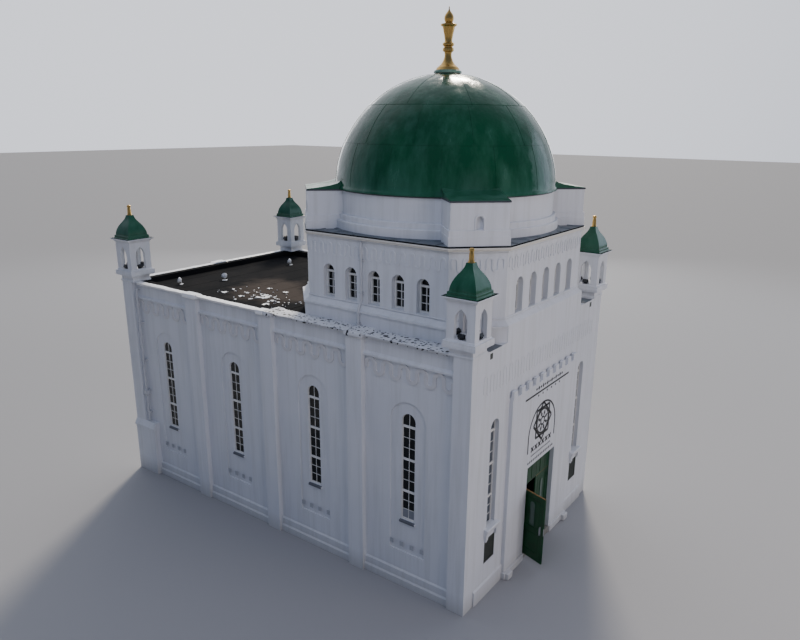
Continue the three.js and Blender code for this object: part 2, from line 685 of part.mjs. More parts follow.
function addDomeFinial() {
  const z0 = DRUM_TOP + GAP + DOME_HEIGHT;
  const profile = [
    [0, GAP], [200, GAP], [370, GAP], [370, 60], [310, 70], [300, 130], [180, 220], [95, 400], [95, 520],
    [150, 560], [150, 620], [110, 650], [150, 690], [150, 740], [100, 780], [120, 900], [160, 1110],
    [160, 1150], [215, 1160], [215, 1210], [90, 1240], [130, 1330], [110, 1420], [40, 1500], [15, 1540],
    [12, 1640], [0, 1650],
  ];
  addNode("dome_finial", solid(turned(profile, 16).translate(0, TOWER_Y, z0)), "gilt");
}

// Corner turrets: neck, moulded base and a square lantern open on four sides
function turretSolid() {
  const square = (side, z0, z1) => box(-side / 2, side / 2, -side / 2, side / 2, z0, z1);
  const base0 = WALL_TOP + TURRET_NECK_HEIGHT;
  const body0 = base0 + TURRET_BASE_HEIGHT;
  const shell = join([
    square(TURRET_NECK, WALL_TOP + GAP, base0 + 10),
    square(TURRET_BASE, base0, body0),
    square(TURRET_BODY, body0 - 10, TURRET_EAVES),
  ]);
  const arch = pointedArch(TURRET_ARCH_HALF, TURRET_SILL, TURRET_SPRING);
  const across = inward(arch, -TURRET_BODY, TURRET_BODY, 3);
  const through = solid(geometryOf(across).rotateZ(Math.PI / 2));
  const room = square(TURRET_BODY - 2 * TURRET_WALL, TURRET_SILL, TURRET_EAVES - TURRET_CEILING);
  return cut(shell, [across, through, room]);
}

// Half-width of the bell-shaped turret roof at each height above the eaves
const turretRoofProfile = [
  [TURRET_ROOF_HALF, 0], [TURRET_ROOF_HALF, 30], [410, 60], [370, 130], [335, 220], [300, 300],
  [240, 440], [190, 520], [140, 600], [100, 690], [75, 760],
];

function turretRoofSolid() {
  const layers = [];
  for (let i = 1; i < turretRoofProfile.length; i += 1) {
    const [r0, z0] = turretRoofProfile[i - 1];
    const [r1, z1] = turretRoofProfile[i];
    if (z1 > z0) {
      const slice = new THREE.CylinderGeometry(r1 * Math.SQRT2, r0 * Math.SQRT2, z1 - z0, 4);
      layers.push(solid(slice.rotateX(Math.PI / 2).rotateZ(Math.PI / 4).translate(0, 0, (z0 + z1) / 2)));
    }
  }
  const finial = [
    [0, 740], [75, 740], [70, 780], [58, 810], [56, 870], [68, 910], [72, 960],
    [60, 985], [44, 1000], [50, 1035], [36, 1065], [0, 1085],
  ];
  return join([...layers, solid(turned(finial, 12))]);
}

function addTurrets() {
  const body = geometryOf(turretSolid());
  const roof = geometryOf(turretRoofSolid());
  const x = half - TURRET_INSET;
  const spots = [
    ["front_left", -x, TURRET_INSET],
    ["front_right", x, TURRET_INSET],
    ["rear_left", -x, DEPTH - TURRET_INSET],
    ["rear_right", x, DEPTH - TURRET_INSET],
  ];
  for (const [name, px, py] of spots) {
    addNode(`turret_${name}`, body, "render", new THREE.Matrix4().makeTranslation(px, py, 0));
    const top = new THREE.Matrix4().makeTranslation(px, py, TURRET_EAVES + GAP);
    addNode(`turret_roof_${name}`, roof, "greenSheet", top);
  }
}

// Round pipe with straight runs through a list of points, each run lapping the next at the bend
function pipeSolid(points) {
  const spots = points.map(([x, y, z]) => new THREE.Vector3(x, y, z));
  return spots.slice(1).map((end, i) => {
    const run = end.clone().sub(spots[i]);
    const reach = run.length() + PIPE_RADIUS;
    const up = new THREE.Vector3(0, 1, 0);
    const turn = new THREE.Quaternion().setFromUnitVectors(up, run.clone().normalize());
    const middle = spots[i].clone().addScaledVector(run, 0.5);
    const length = new THREE.CylinderGeometry(PIPE_RADIUS, PIPE_RADIUS, reach, PIPE_SIDES);
    return solid(length.applyQuaternion(turn).translate(middle.x, middle.y, middle.z));
  });
}

// Clip from the pipe's middle back to the wall face
function pipeClip(wallX, x, y, z) {
  const wide = PIPE_RADIUS + 12;
  return box(x - 10, wallX - GAP, y - wide, y + wide, z, z + CLIP_HEIGHT);
}

// Rainwater pipe down the left face of the tower, stepping out over the ledge
function addTowerPipe() {
  const y = TOWER_Y + LIGHT_PITCH / 2;
  const upper = -TOWER_HALF - PIPE_STANDOFF - PIPE_RADIUS;
  const lower = upper - BAND_PROJECTION;
  const run = [
    [upper, y, EAVES - EAVES_HEIGHT - PIPE_RADIUS],
    [upper, y, LEDGE_HIGH + 160],
    [lower, y, LEDGE_LOW],
    [lower, y, ROOF_TOP + DRIP_GAP + PIPE_RADIUS],
  ];
  const clips = [
    pipeClip(-TOWER_HALF, upper, y, EAVES - 500),
    pipeClip(-TOWER_HALF, upper, y, LEDGE_HIGH + 300),
    pipeClip(-TOWER_HALF - BAND_PROJECTION, lower, y, ROOF_TOP + 200),
  ];
  addNode("tower_downpipe", join([...pipeSolid(run), ...clips]), "pipe");
}

// Rainwater pipe beside the rear left pier, from the parapet to a hopper and on to the corner block
function addCornerPipe() {
  const face = -half + BAY_RECESS;
  const x = face - STRING_PROJECTION - PIPE_STANDOFF - PIPE_RADIUS;
  const y = DEPTH - PIER_WIDTH - 2 * HOPPER_HALF;
  const hopperTop = HOPPER_BASE + HOPPER_HEIGHT;
  const upper = pipeSolid([[face - PIPE_RADIUS, y, OUTLET_Z], [x, y, OUTLET_Z], [x, y, hopperTop - 30]]);
  const hopper = box(x - 60, face - GAP, y - HOPPER_HALF, y + HOPPER_HALF, HOPPER_BASE, hopperTop);
  const lower = pipeSolid([[x, y, hopperTop - 30], [x, y, CORNER_CAP_TOP + DRIP_GAP + PIPE_RADIUS]]);
  const clips = [5400, 4100, 2250].map((z) => pipeClip(face, x, y, z));
  const wallSide = box(face - GAP, -half + WALL_INNER, y - 100, y + 100, 0, WALL_TOP);
  addNode("corner_downpipe", join([...upper, hopper, ...lower, ...clips]).subtract(wallSide), "pipe");
}

addFloor();
addSideWall("left_wall", placeLeft, 0, 1);
addSideWall("right_wall", placeRight, DEPTH, -1);
addRearWall();
addFrontWallBeside("front_wall_left", -1);
addFrontWallBeside("front_wall_right", 1);
addFrontWallOver();
addPortalMerlons();
addWindows();
addDoorFrame();
addDoors();
addMainRoof();
addTower();
addTowerRoof();
addDrum();
addDome();
addDomeFinial();
addTurrets();
addTowerPipe();
addCornerPipe();

// The origin is the middle of the footprint's box, on the ground
building.updateMatrixWorld(true);
const bounds = new THREE.Box3().setFromObject(building, true);
building.position.set(-(bounds.min.x + bounds.max.x) / 2, -(bounds.min.y + bounds.max.y) / 2, -bounds.min.z);

export default building;
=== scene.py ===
import json
import math
import random

import bmesh
import bpy
from mathutils import Matrix, Vector, noise


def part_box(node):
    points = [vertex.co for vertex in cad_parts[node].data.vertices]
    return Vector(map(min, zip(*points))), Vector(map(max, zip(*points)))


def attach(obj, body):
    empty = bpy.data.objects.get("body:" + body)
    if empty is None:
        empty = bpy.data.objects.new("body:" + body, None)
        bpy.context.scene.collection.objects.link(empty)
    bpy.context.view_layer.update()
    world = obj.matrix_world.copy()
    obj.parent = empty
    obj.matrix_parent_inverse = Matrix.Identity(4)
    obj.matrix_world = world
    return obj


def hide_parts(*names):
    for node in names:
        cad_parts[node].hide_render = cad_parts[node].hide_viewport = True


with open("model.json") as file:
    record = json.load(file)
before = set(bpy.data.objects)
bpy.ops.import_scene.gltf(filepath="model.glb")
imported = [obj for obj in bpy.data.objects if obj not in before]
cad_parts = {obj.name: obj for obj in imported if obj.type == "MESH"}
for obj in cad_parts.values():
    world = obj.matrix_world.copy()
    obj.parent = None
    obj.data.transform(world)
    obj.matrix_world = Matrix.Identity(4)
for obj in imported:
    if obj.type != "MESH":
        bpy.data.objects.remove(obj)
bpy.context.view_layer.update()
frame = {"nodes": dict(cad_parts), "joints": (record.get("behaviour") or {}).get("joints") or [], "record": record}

nodes = frame["nodes"]
print("frame loaded:", len(nodes), "nodes")


# Small tools that the pieces share

def linearColour(hexColour):
    channels = [int(hexColour[i:i + 2], 16) / 255 for i in (1, 3, 5)]
    return [c / 12.92 if c <= 0.04045 else ((c + 0.055) / 1.055) ** 2.4 for c in channels] + [1.0]


def addNode(tree, kind, settings=None, sockets=None, links=None):
    node = tree.nodes.new(kind)
    for name, value in (settings or {}).items():
        setattr(node, name, value)
    for name, value in (sockets or {}).items():
        node.inputs[name].default_value = value
    for name, source in (links or {}).items():
        tree.links.new(source, node.inputs[name])
    return node


def startMaterial(name, **shaderSockets):
    material = bpy.data.materials.new(name)
    material.use_nodes = True
    tree = material.node_tree
    shader = tree.nodes["Principled BSDF"]
    for socket, value in shaderSockets.items():
        shader.inputs[socket.replace("_", " ")].default_value = value
    place = addNode(tree, "ShaderNodeTexCoord").outputs["Object"]
    return material, tree, shader, place


def finishPiece(name, bm, material, body="building", smoothAngle=35):
    bmesh.ops.recalc_face_normals(bm, faces=bm.faces)
    mesh = bpy.data.meshes.new(name)
    bm.to_mesh(mesh)
    bm.free()
    mesh.materials.append(material)
    mesh.shade_smooth()
    mesh.set_sharp_from_angle(angle=math.radians(smoothAngle))
    piece = bpy.data.objects.new(name, mesh)
    bpy.context.scene.collection.objects.link(piece)
    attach(piece, body)
    return piece


def softenEdges(piece, width, segments=2):
    bevel = piece.modifiers.new("softEdges", "BEVEL")
    bevel.width = width
    bevel.segments = segments
    bevel.limit_method = "ANGLE"
    bevel.angle_limit = math.radians(40)
    return piece


# Camera, at the photograph's viewing angle

cameraView = {
    "focalPixels": 693.994,
    "frameWidth": 800,
    "frameHeight": 640,
    "centreX": 403.941,
    "centreY": 331.745,
    "yaw": 54.296,
    "pitch": -16.735,
    "roll": 0.544,
    "spot": (-16.60, -13.5887, 11.784),
    "sensor": 36,
}


def addCamera():
    view = cameraView
    camera = bpy.data.cameras.new("photoCamera")
    camera.sensor_width = view["sensor"]
    camera.lens = view["focalPixels"] / view["frameWidth"] * view["sensor"]
    camera.shift_x = (view["frameWidth"] / 2 - view["centreX"]) / view["frameWidth"]
    camera.shift_y = (view["centreY"] - view["frameHeight"] / 2) / view["frameWidth"]
    camera.clip_end = 600
    yaw, pitch, roll = (math.radians(view[key]) for key in ("yaw", "pitch", "roll"))
    forward = Vector((math.sin(yaw) * math.cos(pitch), math.cos(yaw) * math.cos(pitch), math.sin(pitch)))
    side = forward.cross(Vector((0, 0, 1))).normalized()
    above = side.cross(forward)
    right = side * math.cos(roll) + above * math.sin(roll)
    up = above * math.cos(roll) - side * math.sin(roll)
    turn = Matrix((right, up, -forward)).transposed().to_4x4()
    holder = bpy.data.objects.new("photoCamera", camera)
    holder.matrix_world = Matrix.Translation(view["spot"]) @ turn
    bpy.context.scene.collection.objects.link(holder)
    bpy.context.scene.camera = holder


# Soft studio light: a low warm key behind the building, pale panels round it, and a plain floor

studio = {
    "skyColour": "#8ea0c4",
    "glowColour": "#f2f5ff",
    "glowTowards": (0.68, 0.66, 0.32),
    "skyStrength": 0.44,
    "glowStrength": 1.3,
    "keyStrength": 3.2,
    "keyAngle": 10,
    "keyBearing": 62,
    "keyHeight": 36,
    "keyColour": "#fff4e2",
    "floorColour": "#98989a",
    "floorReach": 260,
}
# name, where it stands, width, height, watts, colour, shows in reflections
softPanels = [
    ("frontFill", (-4, -36, 15), 36, 14, 4300, "#fdf0ea", False),
    ("sideFill", (-12, -8, 19), 9, 6, 520, "#dfe6ff", False),
    ("rightRim", (34, 22, 15), 40, 18, 4200, "#ffffff", True),
    ("rightCard", (34, -24, 17), 24, 20, 1700, "#dcecff", True),
    ("leftRim", (-8, 44, 14), 36, 14, 700, "#e6efff", False),
]


def addLight(name, kind, colour, power):
    light = bpy.data.lights.new(name, kind)
    light.color = linearColour(colour)[:3]
    light.energy = power
    holder = bpy.data.objects.new(name, light)
    bpy.context.scene.collection.objects.link(holder)
    return holder


def addStudio():
    world = bpy.data.worlds.new("studioSky")
    bpy.context.scene.world = world
    world.use_nodes = True
    # a pale sky that brightens towards the far side of the building
    tree = world.node_tree
    sky = tree.nodes["Background"]
    way = addNode(tree, "ShaderNodeTexCoord")
    glow = addNode(tree, "ShaderNodeVectorMath", {"operation": "DOT_PRODUCT"}, {1: studio["glowTowards"]},
                   {0: way.outputs["Generated"]})
    share = addNode(tree, "ShaderNodeMapRange", {"interpolation_type": "SMOOTHSTEP"},
                    {"From Min": -0.1, "From Max": 1.0},
                    {"Value": glow.outputs["Value"]})
    tint = addNode(tree, "ShaderNodeMix", {"data_type": "RGBA"},
                   {6: linearColour(studio["skyColour"]), 7: linearColour(studio["glowColour"])},
                   {0: share.outputs[0]})
    power = addNode(tree, "ShaderNodeMapRange",
                    sockets={"To Min": studio["skyStrength"], "To Max": studio["glowStrength"]},
                    links={"Value": share.outputs[0]})
    tree.links.new(tint.outputs[2], sky.inputs["Color"])
    tree.links.new(power.outputs[0], sky.inputs["Strength"])
    key = addLight("keyLight", "SUN", studio["keyColour"], studio["keyStrength"])
    key.data.angle = math.radians(studio["keyAngle"])
    bearing, height = math.radians(studio["keyBearing"]), math.radians(studio["keyHeight"])
    towards = Vector((math.sin(bearing) * math.cos(height), math.cos(bearing) * math.cos(height),
                      math.sin(height)))
    key.rotation_euler = towards.to_track_quat("Z", "Y").to_euler()
    for name, spot, width, tall, watts, colour, shiny in softPanels:
        panel = addLight(name, "AREA", colour, watts)
        panel.data.shape = "RECTANGLE"
        panel.data.size = width
        panel.data.size_y = tall
        panel.location = spot
        panel.rotation_euler = (Vector(spot) - Vector((0, 0, 5))).to_track_quat("Z", "Y").to_euler()
        panel.visible_glossy = shiny
        panel.visible_camera = False
    bm = bmesh.new()
    bmesh.ops.create_grid(bm, x_segments=1, y_segments=1, size=studio["floorReach"])
    mesh = bpy.data.meshes.new("studioFloor")
    bm.to_mesh(mesh)
    bm.free()
    floor = bpy.data.objects.new("studioFloor", mesh)
    floor.location.z = -0.002
    bpy.context.scene.collection.objects.link(floor)
    material, tree, shader, place = startMaterial("studioPaper", Roughness=0.9)
    shader.inputs["Base Color"].default_value = linearColour(studio["floorColour"])
    mesh.materials.append(material)


addCamera()
addStudio()
print("camera and studio ready")


# Finishes

def masonryPaint():
    # white masonry paint rolled on cement render: matt, faintly streaked by rain, slightly uneven
    material, tree, shader, place = startMaterial("masonryPaint", Roughness=0.78)
    stretch = addNode(tree, "ShaderNodeMapping", sockets={"Scale": (6, 6, 0.35)}, links={"Vector": place})
    streaks = addNode(tree, "ShaderNodeTexNoise", sockets={"Scale": 1.0, "Detail": 6, "Roughness": 0.62},
                      links={"Vector": stretch.outputs[0]})
    patches = addNode(tree, "ShaderNodeTexNoise", sockets={"Scale": 0.7, "Detail": 4},
                      links={"Vector": place})
    streakAmount = addNode(tree, "ShaderNodeMapRange",
                           sockets={"From Min": 0.45, "From Max": 0.78, "To Max": 0.5},
                           links={"Value": streaks.outputs["Fac"]})
    clean = addNode(tree, "ShaderNodeMix", {"data_type": "RGBA"},
                    {6: linearColour("#dfe0e3"), 7: linearColour("#cfd2d8")}, {0: patches.outputs["Fac"]})
    stained = addNode(tree, "ShaderNodeMix", {"data_type": "RGBA"}, {7: linearColour("#b9bab8")},
                      {0: streakAmount.outputs[0], 6: clean.outputs[2]})
    height = addNode(tree, "ShaderNodeSeparateXYZ", links={"Vector": place})
    splash = addNode(tree, "ShaderNodeMapRange", sockets={"From Min": 0.55, "From Max": 0.0, "To Max": 0.45},
                     links={"Value": height.outputs["Z"]})
    splashed = addNode(tree, "ShaderNodeMix", {"data_type": "RGBA"}, {7: linearColour("#9b978c")},
                       {0: splash.outputs[0], 6: stained.outputs[2]})
    tree.links.new(splashed.outputs[2], shader.inputs["Base Color"])
    # trowel marks about 0.4 m across and sand of the render drawn at 15 mm
    trowel = addNode(tree, "ShaderNodeTexNoise", sockets={"Scale": 2.5, "Detail": 3}, links={"Vector": place})
    sand = addNode(tree, "ShaderNodeTexNoise", sockets={"Scale": 65, "Detail": 3}, links={"Vector": place})
    waves = addNode(tree, "ShaderNodeBump", sockets={"Strength": 0.35, "Distance": 0.012},
                    links={"Height": trowel.outputs["Fac"]})
    rough = addNode(tree, "ShaderNodeBump", sockets={"Strength": 0.3, "Distance": 0.003},
                    links={"Height": sand.outputs["Fac"], "Normal": waves.outputs[0]})
    tree.links.new(rough.outputs[0], shader.inputs["Normal"])
    return material


def roofFelt():
    # mineral felt torched down in strips: near black, gritty, with silt dried in the low parts
    material, tree, shader, place = startMaterial("bitumenFelt", Roughness=0.95)
    shader.inputs["Specular IOR Level"].default_value = 0.03
    grit = addNode(tree, "ShaderNodeTexNoise", sockets={"Scale": 90, "Detail": 2}, links={"Vector": place})
    dark = addNode(tree, "ShaderNodeMix", {"data_type": "RGBA"},
                   {6: linearColour("#0c0d0f"), 7: linearColour("#242527")}, {0: grit.outputs["Fac"]})
    # one wide pool of silt, about 3 m across, with a ragged edge
    pools = addNode(tree, "ShaderNodeTexNoise", sockets={"Scale": 0.9, "Detail": 8, "Roughness": 0.65},
                    links={"Vector": place})
    about = addNode(tree, "ShaderNodeMapping",
                    sockets={"Location": (0.5, -0.62, -3.2), "Scale": (0.36, 0.27, 0.5)},
                    links={"Vector": place})
    ball = addNode(tree, "ShaderNodeTexGradient", {"gradient_type": "SPHERICAL"},
                   links={"Vector": about.outputs[0]})
    ragged = addNode(tree, "ShaderNodeMath", {"operation": "MULTIPLY"}, {},
                     {0: pools.outputs["Fac"], 1: ball.outputs["Fac"]})
    pool = addNode(tree, "ShaderNodeMapRange", sockets={"From Min": 0.19, "From Max": 0.36, "To Max": 0.85},
                   links={"Value": ragged.outputs[0]})
    film = addNode(tree, "ShaderNodeMapRange", sockets={"From Min": 0.45, "From Max": 0.7, "To Max": 0.12},
                   links={"Value": pools.outputs["Fac"]})
    silt = addNode(tree, "ShaderNodeMath", {"operation": "MAXIMUM"}, {},
                   {0: pool.outputs[0], 1: film.outputs[0]})
    dirty = addNode(tree, "ShaderNodeMix", {"data_type": "RGBA"}, {7: linearColour("#4d453f")},
                    {0: silt.outputs[0], 6: dark.outputs[2]})
    tree.links.new(dirty.outputs[2], shader.inputs["Base Color"])
    bump = addNode(tree, "ShaderNodeBump", sockets={"Strength": 0.4, "Distance": 0.004},
                   links={"Height": grit.outputs["Fac"]})
    tree.links.new(bump.outputs[0], shader.inputs["Normal"])
    return material


def greenGelcoat(name, haze, bleachAndPaintedReflectionMost):
    # green gelcoat on moulded glass fibre: a deep colour and a clear wavy shine, bleached in cloudy patches
    material, tree, shader, place = startMaterial(name, Roughness=0.14, IOR=1.5)
    shader.inputs["Specular IOR Level"].default_value = 0.3
    cloud = addNode(tree, "ShaderNodeTexNoise", sockets={"Scale": 1.0, "Detail": 7, "Roughness": 0.6},
                    links={"Vector": place})
    green = addNode(tree, "ShaderNodeMix", {"data_type": "RGBA"},
                    {6: linearColour("#053624"), 7: linearColour("#0a4f31")}, {0: cloud.outputs["Fac"]})
    # chalky streaks about 0.4 m wide run down from the crown, which is paler, and a painted reflection pales a
    # band round the foot
    drawn = addNode(tree, "ShaderNodeMapping", sockets={"Scale": (2.6, 2.6, 0.7)}, links={"Vector": place})
    runs = addNode(tree, "ShaderNodeTexNoise", sockets={"Scale": 1.0, "Detail": 5, "Roughness": 0.6},
                   links={"Vector": drawn.outputs[0]})
    height = addNode(tree, "ShaderNodeSeparateXYZ", links={"Vector": place})
    crown = addNode(tree, "ShaderNodeMapRange", sockets={"From Min": 12.1, "From Max": 13.0, "To Max": 0.14},
                    links={"Value": height.outputs["Z"]})
    # painted reflection: a band round the foot, paler towards the bottom
    foot = addNode(tree, "ShaderNodeMapRange", sockets={"From Min": 11.0, "From Max": 10.2, "To Max": 0.24},
                   links={"Value": height.outputs["Z"]})
    ends = addNode(tree, "ShaderNodeMath", {"operation": "ADD"}, {},
                   {0: crown.outputs[0], 1: foot.outputs[0]})
    chalkAndPaintedReflection = addNode(tree, "ShaderNodeMath", {"operation": "ADD"}, {},
                    {0: runs.outputs["Fac"], 1: ends.outputs[0]})
    bleachAndPaintedReflection = addNode(tree, "ShaderNodeMapRange",
                     sockets={"From Min": 0.46, "From Max": 0.84, "To Max": bleachAndPaintedReflectionMost},
                     links={"Value": chalkAndPaintedReflection.outputs[0]})
    bloomAndPaintedReflection = addNode(tree, "ShaderNodeMix", {"data_type": "RGBA"}, {7: linearColour("#4f8270")},
                    {0: bleachAndPaintedReflection.outputs[0], 6: green.outputs[2]})
    tree.links.new(bloomAndPaintedReflection.outputs[2], shader.inputs["Base Color"])
    dull = addNode(tree, "ShaderNodeMapRange",
                   sockets={"From Min": 0.35, "From Max": 0.7, "To Min": haze, "To Max": haze + 0.22},
                   links={"Value": runs.outputs["Fac"]})
    tree.links.new(dull.outputs[0], shader.inputs["Roughness"])
    # hand-laid panels never come out quite round, so the shine wavers over about half a metre
    ripple = addNode(tree, "ShaderNodeTexNoise", sockets={"Scale": 2.0, "Detail": 4}, links={"Vector": place})
    bump = addNode(tree, "ShaderNodeBump", sockets={"Strength": 0.6, "Distance": 0.035},
                   links={"Height": ripple.outputs["Fac"]})
    tree.links.new(bump.outputs[0], shader.inputs["Normal"])
    return material


def glossOnTimber(name, light, dark, roughness, grainMix):
    # gloss paint brushed on joinery: a soft shine with brush marks along the length
    material, tree, shader, place = startMaterial(name, Roughness=roughness)
    stretch = addNode(tree, "ShaderNodeMapping", sockets={"Scale": (60, 60, 4)}, links={"Vector": place})
    brush = addNode(tree, "ShaderNodeTexNoise", sockets={"Scale": 1, "Detail": 3},
                    links={"Vector": stretch.outputs[0]})
    wear = addNode(tree, "ShaderNodeTexNoise", sockets={"Scale": 3.5, "Detail": 5}, links={"Vector": place})
    amount = addNode(tree, "ShaderNodeMapRange",
                     sockets={"From Min": 0.4, "From Max": 0.7, "To Max": grainMix},
                     links={"Value": wear.outputs["Fac"]})
    colour = addNode(tree, "ShaderNodeMix", {"data_type": "RGBA"},
                     {6: linearColour(light), 7: linearColour(dark)},
                     {0: amount.outputs[0]})
    tree.links.new(colour.outputs[2], shader.inputs["Base Color"])
    bump = addNode(tree, "ShaderNodeBump", sockets={"Strength": 0.15, "Distance": 0.001},
                   links={"Height": brush.outputs["Fac"]})
    tree.links.new(bump.outputs[0], shader.inputs["Normal"])
    return material


def paneGlass(name, dark, light, roughness):
    # drawn glass before a dark room: nearly black with slow waves in its shine
    material, tree, shader, place = startMaterial(name, Roughness=roughness, IOR=1.52)
    drift = addNode(tree, "ShaderNodeTexNoise", sockets={"Scale": 2.2, "Detail": 3}, links={"Vector": place})
    colour = addNode(tree, "ShaderNodeMix", {"data_type": "RGBA"},
                     {6: linearColour(dark), 7: linearColour(light)},
                     {0: drift.outputs["Fac"]})
    tree.links.new(colour.outputs[2], shader.inputs["Base Color"])
    bump = addNode(tree, "ShaderNodeBump", sockets={"Strength": 0.2, "Distance": 0.004},
                   links={"Height": drift.outputs["Fac"]})
    tree.links.new(bump.outputs[0], shader.inputs["Normal"])
    return material


def mottled(name, first, second, roughness, perMetre, bumpDepth, metallic=0.0):
    # two close tones in small patches, for metal, lead and stone that has stood outside
    material, tree, shader, place = startMaterial(name, Roughness=roughness, Metallic=metallic)
    spots = addNode(tree, "ShaderNodeTexNoise", sockets={"Scale": perMetre, "Detail": 5, "Roughness": 0.6},
                    links={"Vector": place})
    colour = addNode(tree, "ShaderNodeMix", {"data_type": "RGBA"},
                     {6: linearColour(first), 7: linearColour(second)},
                     {0: spots.outputs["Fac"]})
    tree.links.new(colour.outputs[2], shader.inputs["Base Color"])
    worn = addNode(tree, "ShaderNodeMapRange", sockets={"To Min": roughness - 0.1, "To Max": roughness + 0.1},
                   links={"Value": spots.outputs["Fac"]})
    tree.links.new(worn.outputs[0], shader.inputs["Roughness"])
    bump = addNode(tree, "ShaderNodeBump", sockets={"Strength": 0.3, "Distance": bumpDepth},
                   links={"Height": spots.outputs["Fac"]})
    tree.links.new(bump.outputs[0], shader.inputs["Normal"])
    return material


def flakedCoping():
    # white paint flaking off black felt: dark spots 20 to 90 mm across, crowded in patches
    material, tree, shader, place = startMaterial("flakedPaintOnFelt", Roughness=0.75)
    cells = addNode(tree, "ShaderNodeTexVoronoi", sockets={"Scale": 11, "Randomness": 1},
                    links={"Vector": place})
    crowd = addNode(tree, "ShaderNodeTexNoise", sockets={"Scale": 5, "Detail": 4}, links={"Vector": place})
    reach = addNode(tree, "ShaderNodeMapRange",
                    sockets={"From Min": 0.4, "From Max": 0.62, "To Min": 0.12, "To Max": 0.5},
                    links={"Value": crowd.outputs["Fac"]})
    spot = addNode(tree, "ShaderNodeMath", {"operation": "LESS_THAN"}, {},
                   {0: cells.outputs["Distance"], 1: reach.outputs[0]})
    colour = addNode(tree, "ShaderNodeMix", {"data_type": "RGBA"},
                     {6: linearColour("#d5d7db"), 7: linearColour("#1c1d20")}, {0: spot.outputs[0]})
    tree.links.new(colour.outputs[2], shader.inputs["Base Color"])
    bump = addNode(tree, "ShaderNodeBump", {"invert": True}, {"Strength": 0.6, "Distance": 0.003},
                   {"Height": spot.outputs[0]})
    tree.links.new(bump.outputs[0], shader.inputs["Normal"])
    return material


def sawnTimber():
    # bare softwood, weathered tan, with wavering bands of grain about 12 mm apart
    material, tree, shader, place = startMaterial("bareSoftwood", Roughness=0.7)
    grain = addNode(tree, "ShaderNodeTexWave", {"wave_type": "BANDS", "bands_direction": "Z"},
                    {"Scale": 26, "Distortion": 6, "Detail": 3}, {"Vector": place})
    colour = addNode(tree, "ShaderNodeMix", {"data_type": "RGBA"},
                     {6: linearColour("#a27d4b"), 7: linearColour("#7b5b35")}, {0: grain.outputs["Fac"]})
    tree.links.new(colour.outputs[2], shader.inputs["Base Color"])
    return material


paint = masonryPaint()
felt = roofFelt()
gelcoat = greenGelcoat("greenGelcoat", 0.08, 0.3)
# the aprons lie in the foot band, so the painted reflection pales them nearly all over
apronGelcoat = greenGelcoat("dullGreenGelcoat", 0.3, 0.34)
whiteGloss = glossOnTimber("whiteGlossOnTimber", "#e6e5e1", "#d3d2cd", 0.42, 0.6)
beadGloss = glossOnTimber("paleBeadGloss", "#3d5a4c", "#2a4438", 0.4, 0.8)
doorGloss = glossOnTimber("greenGlossOnTimber", "#0a4021", "#062b15", 0.42, 0.8)
darkGlass = paneGlass("darkWindowGlass", "#0a0d0e", "#161c1c", 0.06)
# both reflect less than the shader's usual share
for dulled in (doorGloss, darkGlass):
    dulled.node_tree.nodes["Principled BSDF"].inputs["Specular IOR Level"].default_value = 0.3
greyGlass = paneGlass("skyLitGlass", "#3f444b", "#62686f", 0.12)
palePane = paneGlass("whitedGlass", "#8c9096", "#767b84", 0.3)
paleGlass = paneGlass("wiredGlass", "#4c5f57", "#3c4e47", 0.3)
gilding = mottled("goldLeaf", "#e3c078", "#c79a4e", 0.36, 14, 0.002, 1.0)
greyMasonry = mottled("greyMasonryPaint", "#6b6f76", "#54585f", 0.75, 9, 0.002)
ventIron = mottled("ventIron", "#4f524b", "#3a3d37", 0.6, 20, 0.001)
paleGelcoat = mottled("bleachedGelcoat", "#7f9a89", "#4d7460", 0.4, 9, 0.002)
paintedClay = mottled("paintedAirBrick", "#c2c4c8", "#999da3", 0.8, 60, 0.001)
blackHousing = mottled("blackCastHousing", "#16171a", "#232529", 0.5, 30, 0.001)
pipePaint = mottled("whitePaintedPipe", "#c9cbcf", "#b3b6ba", 0.5, 8, 0.001)
# dark lead that also paints the shadow line under the dome's lip
leadWithPaintedShadow = mottled("leadWithPaintedShadow", "#30343a", "#4a4f56", 0.6, 6, 0.006)
weatheredLead = mottled("weatheredLead", "#101518", "#828d96", 0.5, 3.2, 0.02)
creamPaint = mottled("creamGutterPaint", "#e2ded6", "#cbc6ba", 0.5, 10, 0.001)
signBlack = mottled("blackSignPaint", "#0d0e10", "#191a1d", 0.5, 18, 0.001)
foilWhite = mottled("whiteRoofMembrane", "#f6f7f8", "#e9ebed", 0.36, 7, 0.008)
whiteEnamel = mottled("whiteEnamel", "#e4e5e6", "#cfd1d2", 0.3, 16, 0.001)
brushedSteel = mottled("brushedSteel", "#b9bcc0", "#9ea2a7", 0.32, 40, 0.0005, 1.0)
floorConcrete = mottled("floatedConcrete", "#8f8d87", "#77756f", 0.85, 5, 0.003)
# darker tone of the bay friezes: painted shade, standing in for the shadows cast by their relief
relief = mottled("reliefWithPaintedShade", "#c2c0bf", "#dbdbde", 0.8, 5, 0.004)
flakedPaint = flakedCoping()
bareTimber = sawnTimber()
finishes = {
    "render": paint, "roof_felt": felt, "green_sheet": gelcoat, "gilt": gilding, "door_timber": doorGloss,
    "window_timber": whiteGloss, "glass": darkGlass, "pipe": pipePaint, "concrete": floorConcrete,
}
for subpart in frame["record"]["subparts"]:
    finish = finishes.get(subpart["material_slot"])
    if finish:
        mesh = nodes[subpart["node"]].data
        mesh.materials.clear()
        mesh.materials.append(finish)
print("finishes assigned")


# Shapes that several pieces are made from

def block(bm, low, high):
    size = [b - a for a, b in zip(low, high)]
    middle = [(a + b) / 2 for a, b in zip(low, high)]
    matrix = Matrix.Translation(middle) @ Matrix.Diagonal((*size, 1))
    return bmesh.ops.create_cube(bm, size=1, matrix=matrix)["verts"]


def facesIn(geometry):
    return [item for item in geometry if isinstance(item, bmesh.types.BMFace)]


